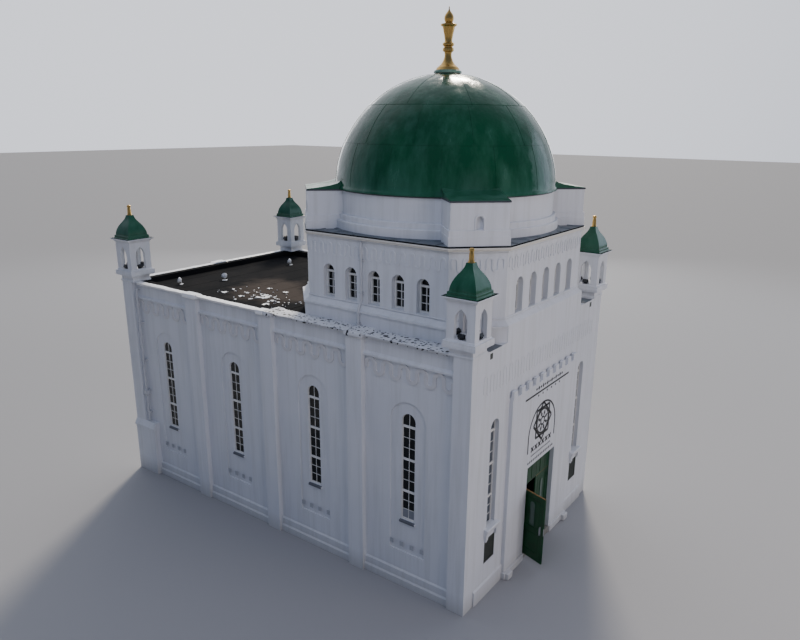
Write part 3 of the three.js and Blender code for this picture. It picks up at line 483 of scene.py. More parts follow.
def vertsIn(geometry):
    return [item for item in geometry if isinstance(item, bmesh.types.BMVert)]


def edgesIn(geometry):
    return [item for item in geometry if isinstance(item, bmesh.types.BMEdge)]


# draws a face out by a step and gives the face at the far end
def pullFace(bm, face, step):
    made = bmesh.ops.extrude_face_region(bm, geom=[face])["geom"]
    bmesh.ops.translate(bm, verts=vertsIn(made), vec=step)
    return facesIn(made)[0]


# carries a face round a centre in the wall's plane; a positive turn goes over the top from right to left
def spinFace(bm, face, centre, turn, steps):
    spun = bmesh.ops.spin(bm, geom=[face], cent=centre, axis=(0, -1, 0), angle=turn, steps=steps)
    return facesIn(spun["geom_last"])[0]


# a face of a few corners given as (u, n) at one height
def sectionAt(bm, corners, z):
    return bm.faces.new([bm.verts.new((u, n, z)) for u, n in corners])


# a profile of (n, z) corners drawn along the wall from u0 to u1
def mouldingRun(bm, profile, u0, u1):
    face = bm.faces.new([bm.verts.new((u0, n, z)) for n, z in profile])
    return pullFace(bm, face, (u1 - u0, 0, 0))


# a round-headed band: up the right side, over the head and down the left
def archBand(bm, half, foot, spring, width, near, far, steps=20):
    corners = [(half - width, near), (half, near), (half, far), (half - width, far)]
    face = pullFace(bm, sectionAt(bm, corners, foot), (0, 0, spring - foot))
    face = spinFace(bm, face, (0, 0, spring), math.pi, steps)
    pullFace(bm, face, (0, 0, foot - spring))


# a round-headed plate
def archPlate(bm, half, foot, spring, near, far, steps=20):
    start = bm.verts.new((half, near, spring))
    arc = bmesh.ops.spin(bm, geom=[start], cent=(0, 0, spring), axis=(0, -1, 0), angle=math.pi, steps=steps)
    last = vertsIn(arc["geom_last"])[0]
    feet = [bm.verts.new((-half, near, foot)), bm.verts.new((half, near, foot))]
    path = [last, feet[0], feet[1], start]
    for a, b in zip(path, path[1:]):
        bm.edges.new((a, b))
    made = bmesh.ops.contextual_create(bm, geom=[edge for edge in bm.edges if edge.is_wire])
    pullFace(bm, made["faces"][0], (0, far - near, 0))


# a flat ribbon that waves up and down along the wall, as on a corbel table
def waveBand(bm, u0, u1, waves, foot, top, width, near, far, steps=8):
    radius = (u1 - u0) / waves / 2
    rise = top - foot - 2 * radius - width
    corners = [(u0 - width / 2, near), (u0 + width / 2, near), (u0 + width / 2, far), (u0 - width / 2, far)]
    z = foot + radius + width / 2
    face = sectionAt(bm, corners, z)
    for i in range(waves):
        way = 1 if i % 2 == 0 else -1
        face = pullFace(bm, face, (0, 0, way * rise))
        z += way * rise
        centre = (u0 + (2 * i + 1) * radius, 0, z)
        face = spinFace(bm, face, centre, -way * math.pi, steps)
    pullFace(bm, face, (0, 0, (1 if waves % 2 == 0 else -1) * rise))


# a profile of (radius, z) turned about the upright axis at (x, y)
def turnProfile(bm, profile, x, y, steps):
    verts = [bm.verts.new((x + r, y, z)) for r, z in profile]
    edges = [bm.edges.new(pair) for pair in zip(verts, verts[1:])]
    bmesh.ops.spin(bm, geom=verts + edges, cent=(x, y, 0), axis=(0, 0, 1), angle=2 * math.pi,
                   steps=steps, use_merge=True)
    bmesh.ops.remove_doubles(bm, verts=bm.verts, dist=1e-5)


# a square stack: each step of (half-width, z) is drawn out of the one below
def squareStack(bm, profile, x, y):
    half, z = profile[0]
    matrix = Matrix.Translation((x, y, z))
    grid = bmesh.ops.create_grid(bm, x_segments=1, y_segments=1, size=half, matrix=matrix)
    face = grid["verts"][0].link_faces[0]
    for nextHalf, nextZ in profile[1:]:
        face = pullFace(bm, face, (0, 0, nextZ - z))
        about = Matrix.Translation((-x, -y, 0))
        bmesh.ops.scale(bm, vec=(nextHalf / half, nextHalf / half, 1), space=about, verts=face.verts)
        half, z = nextHalf, nextZ


# points on a smooth curve through a few given ones
def smoothCurve(points, steps):
    ends = [points[0], *points, points[-1]]
    curve = []
    for i in range(len(points) - 1):
        a, b, c, d = (Vector(p) for p in ends[i:i + 4])
        for k in range(steps):
            t = k / steps
            spot = (2 * b + (c - a) * t + (2 * a - 5 * b + 4 * c - d) * t * t
                    + (3 * b - a - 3 * c + d) * t ** 3)
            curve.append(tuple(spot / 2))
    return curve + [points[-1]]


# Where the walls stand: u runs along a wall, n runs into it from its outer face, z is up

def wallFace(turn, distance, centre=(0, 0)):
    return (Matrix.Translation((*centre, 0)) @ Matrix.Rotation(math.radians(turn), 4, "Z")
            @ Matrix.Translation((0, -distance, 0)))


domeLow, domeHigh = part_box("dome")
axisY = (domeLow.y + domeHigh.y) / 2
hall = {"halfWidth": 3.9, "frontFace": 6.3487, "rearFace": 6.9513, "bayRecess": 0.15,
        "portalProjection": 0.1}
tower = {"half": 3.20, "chamfer": 1.00, "lights": 5, "pitch": 0.75}
walls = {
    "front": wallFace(0, hall["frontFace"]),
    "right": wallFace(90, hall["halfWidth"]),
    "rear": wallFace(180, hall["rearFace"]),
    "left": wallFace(-90, hall["halfWidth"]),
}
towerFaces = {name: wallFace(turn, tower["half"], (0, axisY))
              for name, turn in (("front", 0), ("right", 90), ("rear", 180), ("left", -90))}
chamferDistance = (2 * tower["half"] - tower["chamfer"]) / math.sqrt(2)
cornerTurns = {"front_left": -45, "front_right": 45, "rear_right": 135, "rear_left": -135}


def nodeSpot(node, face):
    corners = [face.inverted() @ Vector(corner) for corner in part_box(node)]
    return (corners[0].x + corners[1].x) / 2, min(corner.y for corner in corners)


def placeAll(bm, matrix):
    bmesh.ops.transform(bm, matrix=matrix, verts=bm.verts)


def joinPart(bm, part):
    mesh = bpy.data.meshes.new("joinedPart")
    part.to_mesh(mesh)
    part.free()
    bm.from_mesh(mesh)
    bpy.data.meshes.remove(mesh)


# Hall windows: arched timber frames with transoms, thin glazing bars and a dark pane behind

footRailShare = 1.6  # a window's bottom rail against the width of its stiles
hallWindow = {
    "half": 0.2095, "sill": 1.9505, "spring": 4.72, "frame": 0.026, "headFrame": 0.014, "depth": 0.06,
    "transoms": (2.765, 3.665, 4.565), "transomHeight": 0.06,
    "bar": 0.013, "barNear": 0.016, "barFar": 0.04, "panesUp": 3,
    "glassNear": 0.028, "glassFar": 0.034, "softEdge": 0.002,
}


def addHallWindow(node, face, sunk=0.0, pane=darkGlass):
    size = hallWindow
    u, near = nodeSpot(node, face)
    near -= sunk
    half, inner = size["half"], size["half"] - size["frame"]
    head = size["transoms"][-1]
    foot = size["sill"] + footRailShare * size["frame"]
    bm = bmesh.new()
    archBand(bm, half, head, size["spring"], size["headFrame"], 0, size["depth"])
    for side in (-1, 1):
        low, high = sorted((side * inner, side * half))
        block(bm, (low, 0, size["sill"]), (high, size["depth"], head))
    block(bm, (-inner, 0, size["sill"]), (inner, size["depth"], foot))
    rails = []
    for z in size["transoms"]:
        low, high = z - size["transomHeight"] / 2, z + size["transomHeight"] / 2
        block(bm, (-inner - 0.002, 0.002, low), (inner + 0.002, size["depth"] - 0.004, high))
        rails.append((low, high))
    barNear, barFar = size["barNear"], size["barFar"]
    for low, high in rails:
        for i in range(1, size["panesUp"]):
            z = foot + (low - foot) * i / size["panesUp"]
            block(bm, (-inner, barNear, z - size["bar"] / 2), (inner, barFar, z + size["bar"] / 2))
        foot = high
    bar = size["bar"] / 2
    block(bm, (-bar, barNear - 0.002, size["sill"] + 0.02),
          (bar, barFar + 0.002, size["spring"] + half - 0.02))
    placeAll(bm, face @ Matrix.Translation((u, near, 0)))
    sash = softenEdges(finishPiece(node + "_sash", bm, whiteGloss), size["softEdge"])
    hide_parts(node)
    bm = bmesh.new()
    archPlate(bm, half - 0.004, size["sill"] + 0.01, size["spring"], size["glassNear"], size["glassFar"])
    placeAll(bm, face @ Matrix.Translation((u, near, 0)))
    finishPiece(node + "_glass", bm, pane)


# Sills: grey painted on the side and rear bays, white and moulded on the front

greySill = {"half": 0.235, "proud": 0.021, "deep": 0.1, "foot": 1.868, "frontTop": 1.925, "backTop": 1.955}


def addGreySill(name, u, face, recess):
    size = greySill
    near, far = recess - size["proud"], recess + size["deep"]
    bm = bmesh.new()
    profile = [(near, size["foot"]), (far, size["foot"]), (far, size["backTop"]), (near, size["frontTop"])]
    mouldingRun(bm, profile, u - size["half"], u + size["half"])
    placeAll(bm, face)
    softenEdges(finishPiece(name, bm, greyMasonry), 0.003, 1)


# each bracket under it: half width, face, foot and top against the sill's foot
frontSill = {"reach": 0.33, "top": 2.02, "foot": 1.80, "bracketInset": 0.07,
             "brackets": ((0.045, -0.075, -0.1, 0.05), (0.03, -0.055, -0.16, -0.09))}


def addFrontSill(name, u, face):
    top, foot = frontSill["top"], frontSill["foot"]
    bm = bmesh.new()
    nose = [(-0.02 - 0.07 * math.sin(t * math.pi / 8), foot + 0.03 + 0.07 * (1 - math.cos(t * math.pi / 8)))
            for t in range(5)]
    profile = [(0.01, foot), (-0.02, foot), *nose, (-0.115, top - 0.075), (-0.115, top - 0.03),
               (-0.1, top - 0.012),
               (0.13, top + 0.01), (0.13, top - 0.05), (0.01, top - 0.05)]
    mouldingRun(bm, profile, u - frontSill["reach"], u + frontSill["reach"])
    for side in (-1, 1):
        x = u + side * (frontSill["reach"] - frontSill["bracketInset"])
        for half, near, low, high in frontSill["brackets"]:
            block(bm, (x - half, near, foot + low), (x + half, 0.005, foot + high))
    placeAll(bm, face)
    softenEdges(finishPiece(name, bm, paint), 0.008)


# Cast grilles of the underfloor vents, below the front windows
basementGrille = {"half": 0.262, "foot": 0.988, "top": 1.662, "blades": 11, "border": 0.03,
                  "bladeHalf": 0.006, "tilt": 35}


def addBasementGrille(name, u, face):
    size = basementGrille
    half, foot, top, border = size["half"], size["foot"], size["top"], size["border"]
    bm = bmesh.new()
    # the dark back plate behind the blades paints the shade inside the vent
    block(bm, (-half, 0.03, foot), (half, 0.058, top))
    for low, high in (((-half, foot), (half, foot + border)), ((-half, top - border), (half, top)),
                      ((-half, foot), (border - half, top)), ((half - border, foot), (half, top))):
        block(bm, (low[0], 0.004, low[1]), (high[0], 0.04, high[1]))
    pitch = (top - foot - 2 * border) / size["blades"]
    for i in range(size["blades"]):
        z = foot + border + (i + 0.5) * pitch
        thick = size["bladeHalf"]
        blade = block(bm, (border - half, 0.008, z - thick), (half - border, 0.04, z + thick))
        about = Matrix.Translation((0, -0.024, -z))
        tilt = Matrix.Rotation(math.radians(-size["tilt"]), 3, "X")
        bmesh.ops.rotate(bm, verts=blade, cent=(0, 0, 0), matrix=tilt, space=about)
    placeAll(bm, face @ Matrix.Translation((u, 0, 0)))
    finishPiece(name, bm, ventIron)


# Air bricks in a row near the foot of each bay, painted over with the wall
airBrick = {"z": 1.15, "offsets": (-0.48, -0.16, 0.16, 0.48), "half": 0.055, "tall": 0.13, "slots": 3,
            "rim": 0.014, "proud": 0.008, "backInset": 0.004}


def addAirBricks(name, centres, face, recess):
    half, tall, slots, rim, inset = (airBrick[key] for key in ("half", "tall", "slots", "rim", "backInset"))
    z, near, far = airBrick["z"], recess - airBrick["proud"], recess + 0.002
    bm = bmesh.new()
    for centre in centres:
        for offset in airBrick["offsets"]:
            u = centre + offset
            for low, high in ((-half, -half + rim), (half - rim, half)):
                block(bm, (u + low, near, z), (u + high, far, z + tall))
            for i in range(slots + 1):
                step = z + i * (tall - rim) / slots
                block(bm, (u - half + rim, near, step), (u + half - rim, far, step + rim))
            block(bm, (u - half + inset, recess - 0.003, z + inset),
                  (u + half - inset, recess + 0.004, z + tall - inset))
    placeAll(bm, face)
    finishPiece(name, bm, paintedClay)


bays = {
    "left": [nodeSpot(f"left_window_{i}", walls["left"])[0] for i in range(1, 5)],
    "right": [nodeSpot(f"right_window_{i}", walls["right"])[0] for i in range(1, 5)],
    "rear": [nodeSpot(f"rear_window_{i}", walls["rear"])[0] for i in range(1, 3)],
}
for side, centres in bays.items():
    for i, u in enumerate(centres, 1):
        addHallWindow(f"{side}_window_{i}", walls[side])
        addGreySill(f"{side}_sill_{i}", u, walls[side], hall["bayRecess"])
    addAirBricks(f"{side}_air_bricks", centres, walls[side], hall["bayRecess"])


# the lowest row of one window has a pale sheet behind it
def addPalePane(node, face):
    size = hallWindow
    u, near = nodeSpot(node, face)
    inner = size["half"] - size["frame"]
    bm = bmesh.new()
    foot = size["sill"] + footRailShare * size["frame"]
    row = (size["transoms"][0] - size["transomHeight"] / 2 - foot) / size["panesUp"]
    block(bm, (-inner, size["glassNear"] - 0.003, foot - 0.01), (inner, size["glassFar"] + 0.003, foot + row))
    placeAll(bm, face @ Matrix.Translation((u, near, 0)))
    finishPiece(node + "_pale_pane", bm, palePane)


addPalePane("left_window_1", walls["left"])
for side in ("left", "right"):
    addHallWindow(f"front_window_{side}", walls["front"], 0.03, greyGlass)
    u = nodeSpot(f"front_window_{side}", walls["front"])[0]
    addFrontSill(f"front_sill_{side}", u, walls["front"])
    addBasementGrille(f"front_grille_{side}", u, walls["front"])
print("windows, sills and vents made")


# Corbel-table friezes in low relief: one ribbon of plaster that waves between two levels

frieze = {
    "bays": {"foot": 5.74, "top": 6.22, "width": 0.1, "relief": 0.03, "halfWave": 0.265, "reach": 1.28},
    "front": {"foot": 5.66, "top": 6.20, "width": 0.045, "relief": 0.008, "halfWave": 0.16, "reach": 3.32},
    "tower": {"foot": 8.46, "top": 8.82, "width": 0.045, "relief": 0.018, "halfWave": 0.145, "endGap": 0.09,
              "chamferGap": 0.075},
}


def addFrieze(name, style, face, spans, recess):
    size = frieze[style]
    bm = bmesh.new()
    for u0, u1 in spans:
        waves = round((u1 - u0) / size["halfWave"])
        waveBand(bm, u0, u1, waves, size["foot"], size["top"], size["width"], recess - size["relief"],
                 recess + 0.004)
    placeAll(bm, face)
    # the bay friezes take the darker tone of painted shade
    return finishPiece(name, bm, relief if style == "bays" else paint)


reach = frieze["bays"]["reach"]
for side, centres in bays.items():
    addFrieze(f"{side}_frieze", "bays", walls[side], [(u - reach, u + reach) for u in centres],
              hall["bayRecess"])
reach = frieze["front"]["reach"]
addFrieze("front_frieze", "front", walls["front"], [(-reach, reach)], 0)
flat = tower["half"] - tower["chamfer"] - frieze["tower"]["endGap"]
chamferFlat = tower["chamfer"] / math.sqrt(2) - frieze["tower"]["chamferGap"]
for name, face in towerFaces.items():
    addFrieze(f"tower_{name}_frieze", "tower", face, [(-flat, flat)], 0)
for name, turn in cornerTurns.items():
    face = wallFace(turn, chamferDistance, (0, axisY))
    addFrieze(f"tower_{name}_frieze", "tower", face, [(-chamferFlat, chamferFlat)], 0)
print("friezes made")


# Lights of the tower: white frames set deep in the reveals, before the glazing sheets

towerLight = {
    "half": 0.188, "sill": 7.352, "spring": 8.05, "near": 0.14, "far": 0.199, "frame": 0.028,
    "transomHeight": 0.055, "bar": 0.014, "rows": 3,
}


def addTowerLights(name, face):
    size = towerLight
    inner = size["half"] - size["frame"]
    bm = bmesh.new()
    for i in range(tower["lights"]):
        part = bmesh.new()
        archBand(part, size["half"], size["sill"], size["spring"], size["frame"],
                 size["near"], size["far"], 16)
        foot = size["sill"] + footRailShare * size["frame"]
        transom = size["spring"] - size["transomHeight"]
        block(part, (-inner, size["near"], size["sill"]), (inner, size["far"], foot))
        block(part, (-inner, size["near"] + 0.004, transom), (inner, size["far"], size["spring"]))
        bar = size["bar"] / 2
        block(part, (-bar, size["near"] + 0.012, foot), (bar, size["far"] - 0.008, transom))
        for row in range(1, size["rows"]):
            z = foot + (transom - foot) * row / size["rows"]
            block(part, (-inner, size["near"] + 0.016, z - bar), (inner, size["far"] - 0.012, z + bar))
        placeAll(part, Matrix.Translation(((i - (tower["lights"] - 1) / 2) * tower["pitch"], 0, 0)))
        joinPart(bm, part)
    placeAll(bm, face)
    softenEdges(finishPiece(f"tower_{name}_light_frames", bm, whiteGloss), 0.003)


for name, face in towerFaces.items():
    addTowerLights(name, face)
print("tower lights made")


# Drum: a smooth round wall with four square blocks, each stepped out at its foot and holding a small niche

drum = {
    "outer": 2.98, "inner": 2.70, "foot": 9.0803, "top": 10.11, "steps": 96,
    "blockFace": 3.82, "blockHalf": 0.705, "stepTop": 9.45, "stepOut": 0.04, "lineZ": 9.31,
    "nicheHalf": 0.085, "nicheFoot": 9.455, "nicheSpring": 9.68, "nicheDepth": 0.1, "surround": 0.045,
    "courses": ((9.0803, 0.16), (9.322, 0.16), (9.33, 0.15), (9.33, 0.085), (9.472, 0.085),
                (9.48, 0.075), (9.48, 0.0)),
}


# front of a block with a round-headed niche sunk in it, drawn back to a closed body
def nichedBlock(bm, half, near, far, foot, top, niche):
    part = bmesh.new()
    corners = [(-half, foot), (half, foot), (half, top), (-half, top)]
    outline = [part.verts.new((u, near, z)) for u, z in corners]
    edges = [part.edges.new(pair) for pair in zip(outline, outline[1:] + outline[:1])]
    start = part.verts.new((niche["nicheHalf"], near, niche["nicheSpring"]))
    arc = bmesh.ops.spin(part, geom=[start], cent=(0, near, niche["nicheSpring"]), axis=(0, -1, 0),
                         angle=math.pi, steps=12)
    end = vertsIn(arc["geom_last"])[0]
    feet = [part.verts.new((side * niche["nicheHalf"], near, niche["nicheFoot"])) for side in (-1, 1)]
    loop = [end, feet[0], feet[1], start]
    hole = [edge for edge in part.edges if edge not in edges]
    hole += [part.edges.new(pair) for pair in zip(loop, loop[1:])]
    bmesh.ops.triangle_fill(part, use_beauty=True, use_dissolve=True, edges=edges + hole)
    for rim, depth in ((hole, niche["nicheDepth"]), (edges, far - near)):
        made = bmesh.ops.extrude_edge_only(part, edges=rim)["geom"]
        bmesh.ops.translate(part, verts=vertsIn(made), vec=(0, depth, 0))
        lip = [edge for edge in edgesIn(made) if edge.is_boundary]
        bmesh.ops.contextual_create(part, geom=lip)
    joinPart(bm, part)


def addDrum():
    size = drum
    bm = bmesh.new()
    courses = [(size["outer"] + out, z) for z, out in size["courses"]]
    wall = [(size["inner"], size["foot"]), *courses, (size["outer"], size["top"]),
            (size["inner"], size["top"]), (size["inner"], size["foot"])]
    turnProfile(bm, wall, 0, axisY, size["steps"])
    for turn in cornerTurns.values():
        part = bmesh.new()
        reach = size["blockFace"] - size["outer"] + 0.2
        nichedBlock(part, size["blockHalf"], 0, reach, size["foot"], size["top"] - 0.003, size)
        stepHalf = size["blockHalf"] + size["stepOut"]
        block(part, (-stepHalf, -size["stepOut"], size["foot"]), (stepHalf, reach - 0.05, size["lineZ"]))
        slim = stepHalf - 0.008
        block(part, (-slim, 0.008 - size["stepOut"], size["lineZ"] - 0.01),
              (slim, reach - 0.06, size["stepTop"]))
        around = size["nicheHalf"] + size["surround"]
        archBand(part, around, size["nicheFoot"], size["nicheSpring"], size["surround"], -0.014, 0.002, 12)
        placeAll(part, wallFace(turn, size["blockFace"], (0, axisY)))
        joinPart(bm, part)
    piece = softenEdges(finishPiece("drum_wall", bm, paint), 0.008)
    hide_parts("drum_front_left", "drum_front_right", "drum_rear_left", "drum_rear_right")


addDrum()


# Black lead edge that caps the drum and its blocks, under the dome; its black also paints the shadow line under
# the dome's lip
leadAndShadowEdge = {"low": 10.075, "high": 10.114, "proud": 0.016, "thick": 0.05}


def addLeadAndShadowEdge():
    size = leadAndShadowEdge
    bm = bmesh.new()
    outer = drum["outer"] + size["proud"]
    band = [(outer - size["thick"], size["low"]), (outer, size["low"]), (outer, size["high"]),
            (outer - size["thick"], size["high"]), (outer - size["thick"], size["low"])]
    turnProfile(bm, band, 0, axisY, drum["steps"])
    half = drum["blockHalf"] + size["proud"]
    for turn in cornerTurns.values():
        part = block(bm, (-half, -size["proud"], size["low"]), (half, size["thick"], size["high"]))
        for side in (-1, 1):
            low, high = sorted((side * half, side * (half - size["thick"])))
            part += block(bm, (low, size["thick"], size["low"]), (high, 1.0, size["high"]))
        bmesh.ops.transform(bm, matrix=wallFace(turn, drum["blockFace"], (0, axisY)), verts=part)
    finishPiece("drum_lead_and_shadow_edge", bm, leadWithPaintedShadow)


addLeadAndShadowEdge()


# Dome: one smooth shell with moulded seams, and a green apron down over each block

domeShape = {
    "radius": 3.02, "height": 2.95, "foot": 10.1103, "thick": 0.05, "rings": 40, "steps": 128,
    "lip": 0.045, "lipHeight": 0.06, "seamWidth": 0.022, "seamProud": 0.006,
    "tiers": ((2, 23.5, 14, 0.2), (23.5, 46, 12, 0.55), (46, 78, 8, 0.1)), "ringHeights": (23.5, 46, 78),
    "apron": ((0.0, 0.014), (0.3, 0.05), (0.6, 0.1), (0.78, 0.15), (0.84, 0.18), (0.88, 0.22)),
}


def addDome():
    size = domeShape
    bm = bmesh.new()
    start = bm.verts.new((size["radius"], axisY, 0))
    arc = bmesh.ops.spin(bm, geom=[start], cent=(0, axisY, 0), axis=(0, -1, 0), angle=math.pi / 2,
                         steps=size["rings"])
    bmesh.ops.scale(bm, vec=(1, 1, size["height"] / size["radius"]), verts=bm.verts)
    bmesh.ops.translate(bm, vec=(0, 0, size["foot"]), verts=bm.verts)
    lip = size["radius"] + size["lip"]
    rim = ((lip, 0), (lip, 0.75 * size["lipHeight"]), (lip - 0.012, size["lipHeight"]))
    skirt = [bm.verts.new((r, axisY, size["foot"] + z)) for r, z in rim]
    bm.edges.new((skirt[0], skirt[1]))
    bm.edges.new((skirt[1], skirt[2]))
    # the skirt takes the place of the arc's lowest part
    shell = [v for v in bm.verts if v not in skirt]
    lifted = min((v for v in shell if v.co.z > size["foot"] + size["lipHeight"]), key=lambda v: v.co.z)
    low = [v for v in shell if v.co.z < lifted.co.z]
    bmesh.ops.delete(bm, geom=low, context="VERTS")
    bm.edges.new((skirt[2], lifted))
    bmesh.ops.spin(bm, geom=bm.verts[:] + bm.edges[:], cent=(0, axisY, 0), axis=(0, 0, 1), angle=2 * math.pi,
                   steps=size["steps"], use_merge=True)
    bmesh.ops.remove_doubles(bm, verts=bm.verts, dist=1e-4)
    bmesh.ops.recalc_face_normals(bm, faces=bm.faces)
    bmesh.ops.solidify(bm, geom=bm.faces[:], thickness=size["thick"])
    piece = finishPiece("dome_shell", bm, gelcoat, smoothAngle=50)
    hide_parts("dome")


# faint joints of the moulded panels: three tiers, staggered from one to the next
def addDomeSeams():
    size = domeShape
    stretch = size["height"] / size["radius"]
    bm = bmesh.new()
    wide, near, far = size["seamWidth"] / 2, size["radius"] - 0.01, size["radius"] + size["seamProud"]
    for low, high, count, shift in size["tiers"]:
        for i in range(count):
            part = bmesh.new()
            corners = [(near, -wide), (near, wide), (far, wide * 0.6), (far, -wide * 0.6)]
            face = part.faces.new([part.verts.new((r, u, 0)) for r, u in corners])
            bmesh.ops.rotate(part, verts=face.verts, cent=(0, 0, 0),
                             matrix=Matrix.Rotation(-math.radians(low), 3, "Y"))
            bmesh.ops.spin(part, geom=[face], cent=(0, 0, 0), axis=(0, -1, 0), angle=math.radians(high - low),
                           steps=14)
            turn = Matrix.Rotation(2 * math.pi * (i + shift) / count, 3, "Z")
            bmesh.ops.rotate(part, verts=part.verts, cent=(0, 0, 0), matrix=turn)
            joinPart(bm, part)
    for degrees in size["ringHeights"]:
        spread = math.degrees(wide / size["radius"])
        ring = []
        for r, turn in ((near, -spread), (far, -0.6 * spread), (far, 0.6 * spread), (near, spread),
                        (near, -spread)):
            angle = math.radians(degrees + turn)
            ring.append((r * math.cos(angle), r * math.sin(angle)))
        part = bmesh.new()
        turnProfile(part, ring, 0, 0, size["steps"])
        joinPart(bm, part)
    placeAll(bm, Matrix.Translation((0, axisY, size["foot"])) @ Matrix.Diagonal((1, 1, stretch, 1)))
    finishPiece("dome_seams", bm, gelcoat)


# green aprons over the blocks, hollowed up to meet the dome
def addAprons():
    size = domeShape
    half = drum["blockHalf"] + 0.01
    for name, turn in cornerTurns.items():
        bm = bmesh.new()
        low = leadAndShadowEdge["high"] - 0.004
        reach = drum["blockFace"] - drum["outer"] + 0.12
        profile = [(-0.01, low), (reach, low), *((n, low + z) for n, z in reversed(size["apron"])),
                   (-0.01, low + 0.014)]
        mouldingRun(bm, profile, -half, half)
        placeAll(bm, wallFace(turn, drum["blockFace"], (0, axisY)))
        softenEdges(finishPiece(f"dome_apron_{name}", bm, apronGelcoat), 0.012)


addDome()
addDomeSeams()
addAprons()
print("drum and dome made")


# Gilt finials: a turned baluster on the dome, and a small one on each turret

domeFinial = {
    "steps": 40,
    "profile": (
        (0.33, 0.0), (0.33, 0.075), (0.315, 0.085), (0.30, 0.13), (0.25, 0.17), (0.185, 0.225),
        (0.13, 0.31), (0.1, 0.40), (0.093, 0.47), (0.105, 0.525), (0.145, 0.55), (0.15, 0.585),
        (0.145, 0.62), (0.112, 0.64), (0.112, 0.665), (0.15, 0.69), (0.156, 0.715), (0.15, 0.74),
        (0.108, 0.77), (0.1, 0.80), (0.112, 0.9), (0.135, 1.01), (0.157, 1.10), (0.162, 1.14),
        (0.175, 1.15), (0.213, 1.17), (0.213, 1.205), (0.15, 1.222), (0.095, 1.24), (0.112, 1.28),
        (0.128, 1.33), (0.125, 1.38), (0.1, 1.44), (0.06, 1.49), (0.03, 1.53), (0.016, 1.56),
        (0.013, 1.62), (0.0, 1.648),
    ),
}
turretFinial = {
    "steps": 24,
    "profile": (
        (0.078, 0.745), (0.08, 0.77), (0.066, 0.79), (0.06, 0.83), (0.058, 0.9), (0.054, 0.96),
        (0.048, 0.985), (0.044, 1.0), (0.052, 1.012), (0.062, 1.03), (0.062, 1.048), (0.05, 1.068),
        (0.026, 1.08), (0.0, 1.084),
    ),
}


def addDomeFinial():
    low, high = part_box("dome_finial")
    bm = bmesh.new()
    turnProfile(bm, [(0, low.z)] + [(r, low.z + z) for r, z in domeFinial["profile"]], 0, axisY,
                domeFinial["steps"])
    piece = finishPiece("dome_gilt_finial", bm, gilding, smoothAngle=40)
    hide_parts("dome_finial")


# moulded ring of bleached gelcoat under the finial
def addFinialFoot():
    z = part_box("dome_finial")[0].z
    profile = [(0.28, 0.0), (0.37, 0.0), (0.375, 0.035), (0.362, 0.06), (0.335, 0.07), (0.334, 0.08),
               (0.28, 0.08), (0.28, 0.0)]
    bm = bmesh.new()
    turnProfile(bm, [(r, z + rise) for r, rise in profile], 0, axisY, 48)
    finishPiece("finial_foot_ring", bm, paleGelcoat, smoothAngle=40)


addDomeFinial()
addFinialFoot()


# Turrets: bell-shaped green roofs on a white eaves board, with mouldings round the masonry

turret = {
    "eaves": 8.1203,
    "roof": ((0.425, 0.036), (0.39, 0.05), (0.378, 0.075), (0.377, 0.115), (0.364, 0.135), (0.345, 0.14),
             (0.343, 0.17), (0.335, 0.22), (0.32, 0.28), (0.297, 0.345), (0.262, 0.42), (0.215, 0.495),
             (0.165, 0.565), (0.125, 0.63), (0.1, 0.69), (0.086, 0.745), (0.083, 0.76)),
    "flange": 0.475, "boardTop": 0.032, "curveSteps": 3,
    "cornice": ((0.39, -0.075), (0.402, -0.06), (0.41, -0.03), (0.435, -0.012), (0.44, 0)),
    "baseMoulding": ((0.325, 6.93), (0.345, 6.945), (0.375, 6.97), (0.42, 6.985), (0.436, 7.0), (0.436, 7.07),
                     (0.42, 7.09), (0.395, 7.12), (0.385, 7.16), (0.372, 7.172)),
    "footCourse": ((0.335, 6.762), (0.335, 6.80), (0.322, 6.82), (0.312, 6.83)),
}


# heads, feet and cooling fins of the small black lights on the lanterns' sills
floodlight = {"head": ((-0.085, -0.35, 7.215), (0.075, -0.27, 7.31)),
              "foot": ((-0.06, -0.33, 7.181), (0.05, -0.28, 7.2)),
              "bracketAt": 0.088, "fins": (-0.06, -0.03, 0, 0.03), "pivot": (0, -0.31, 7.26), "tilt": 32}


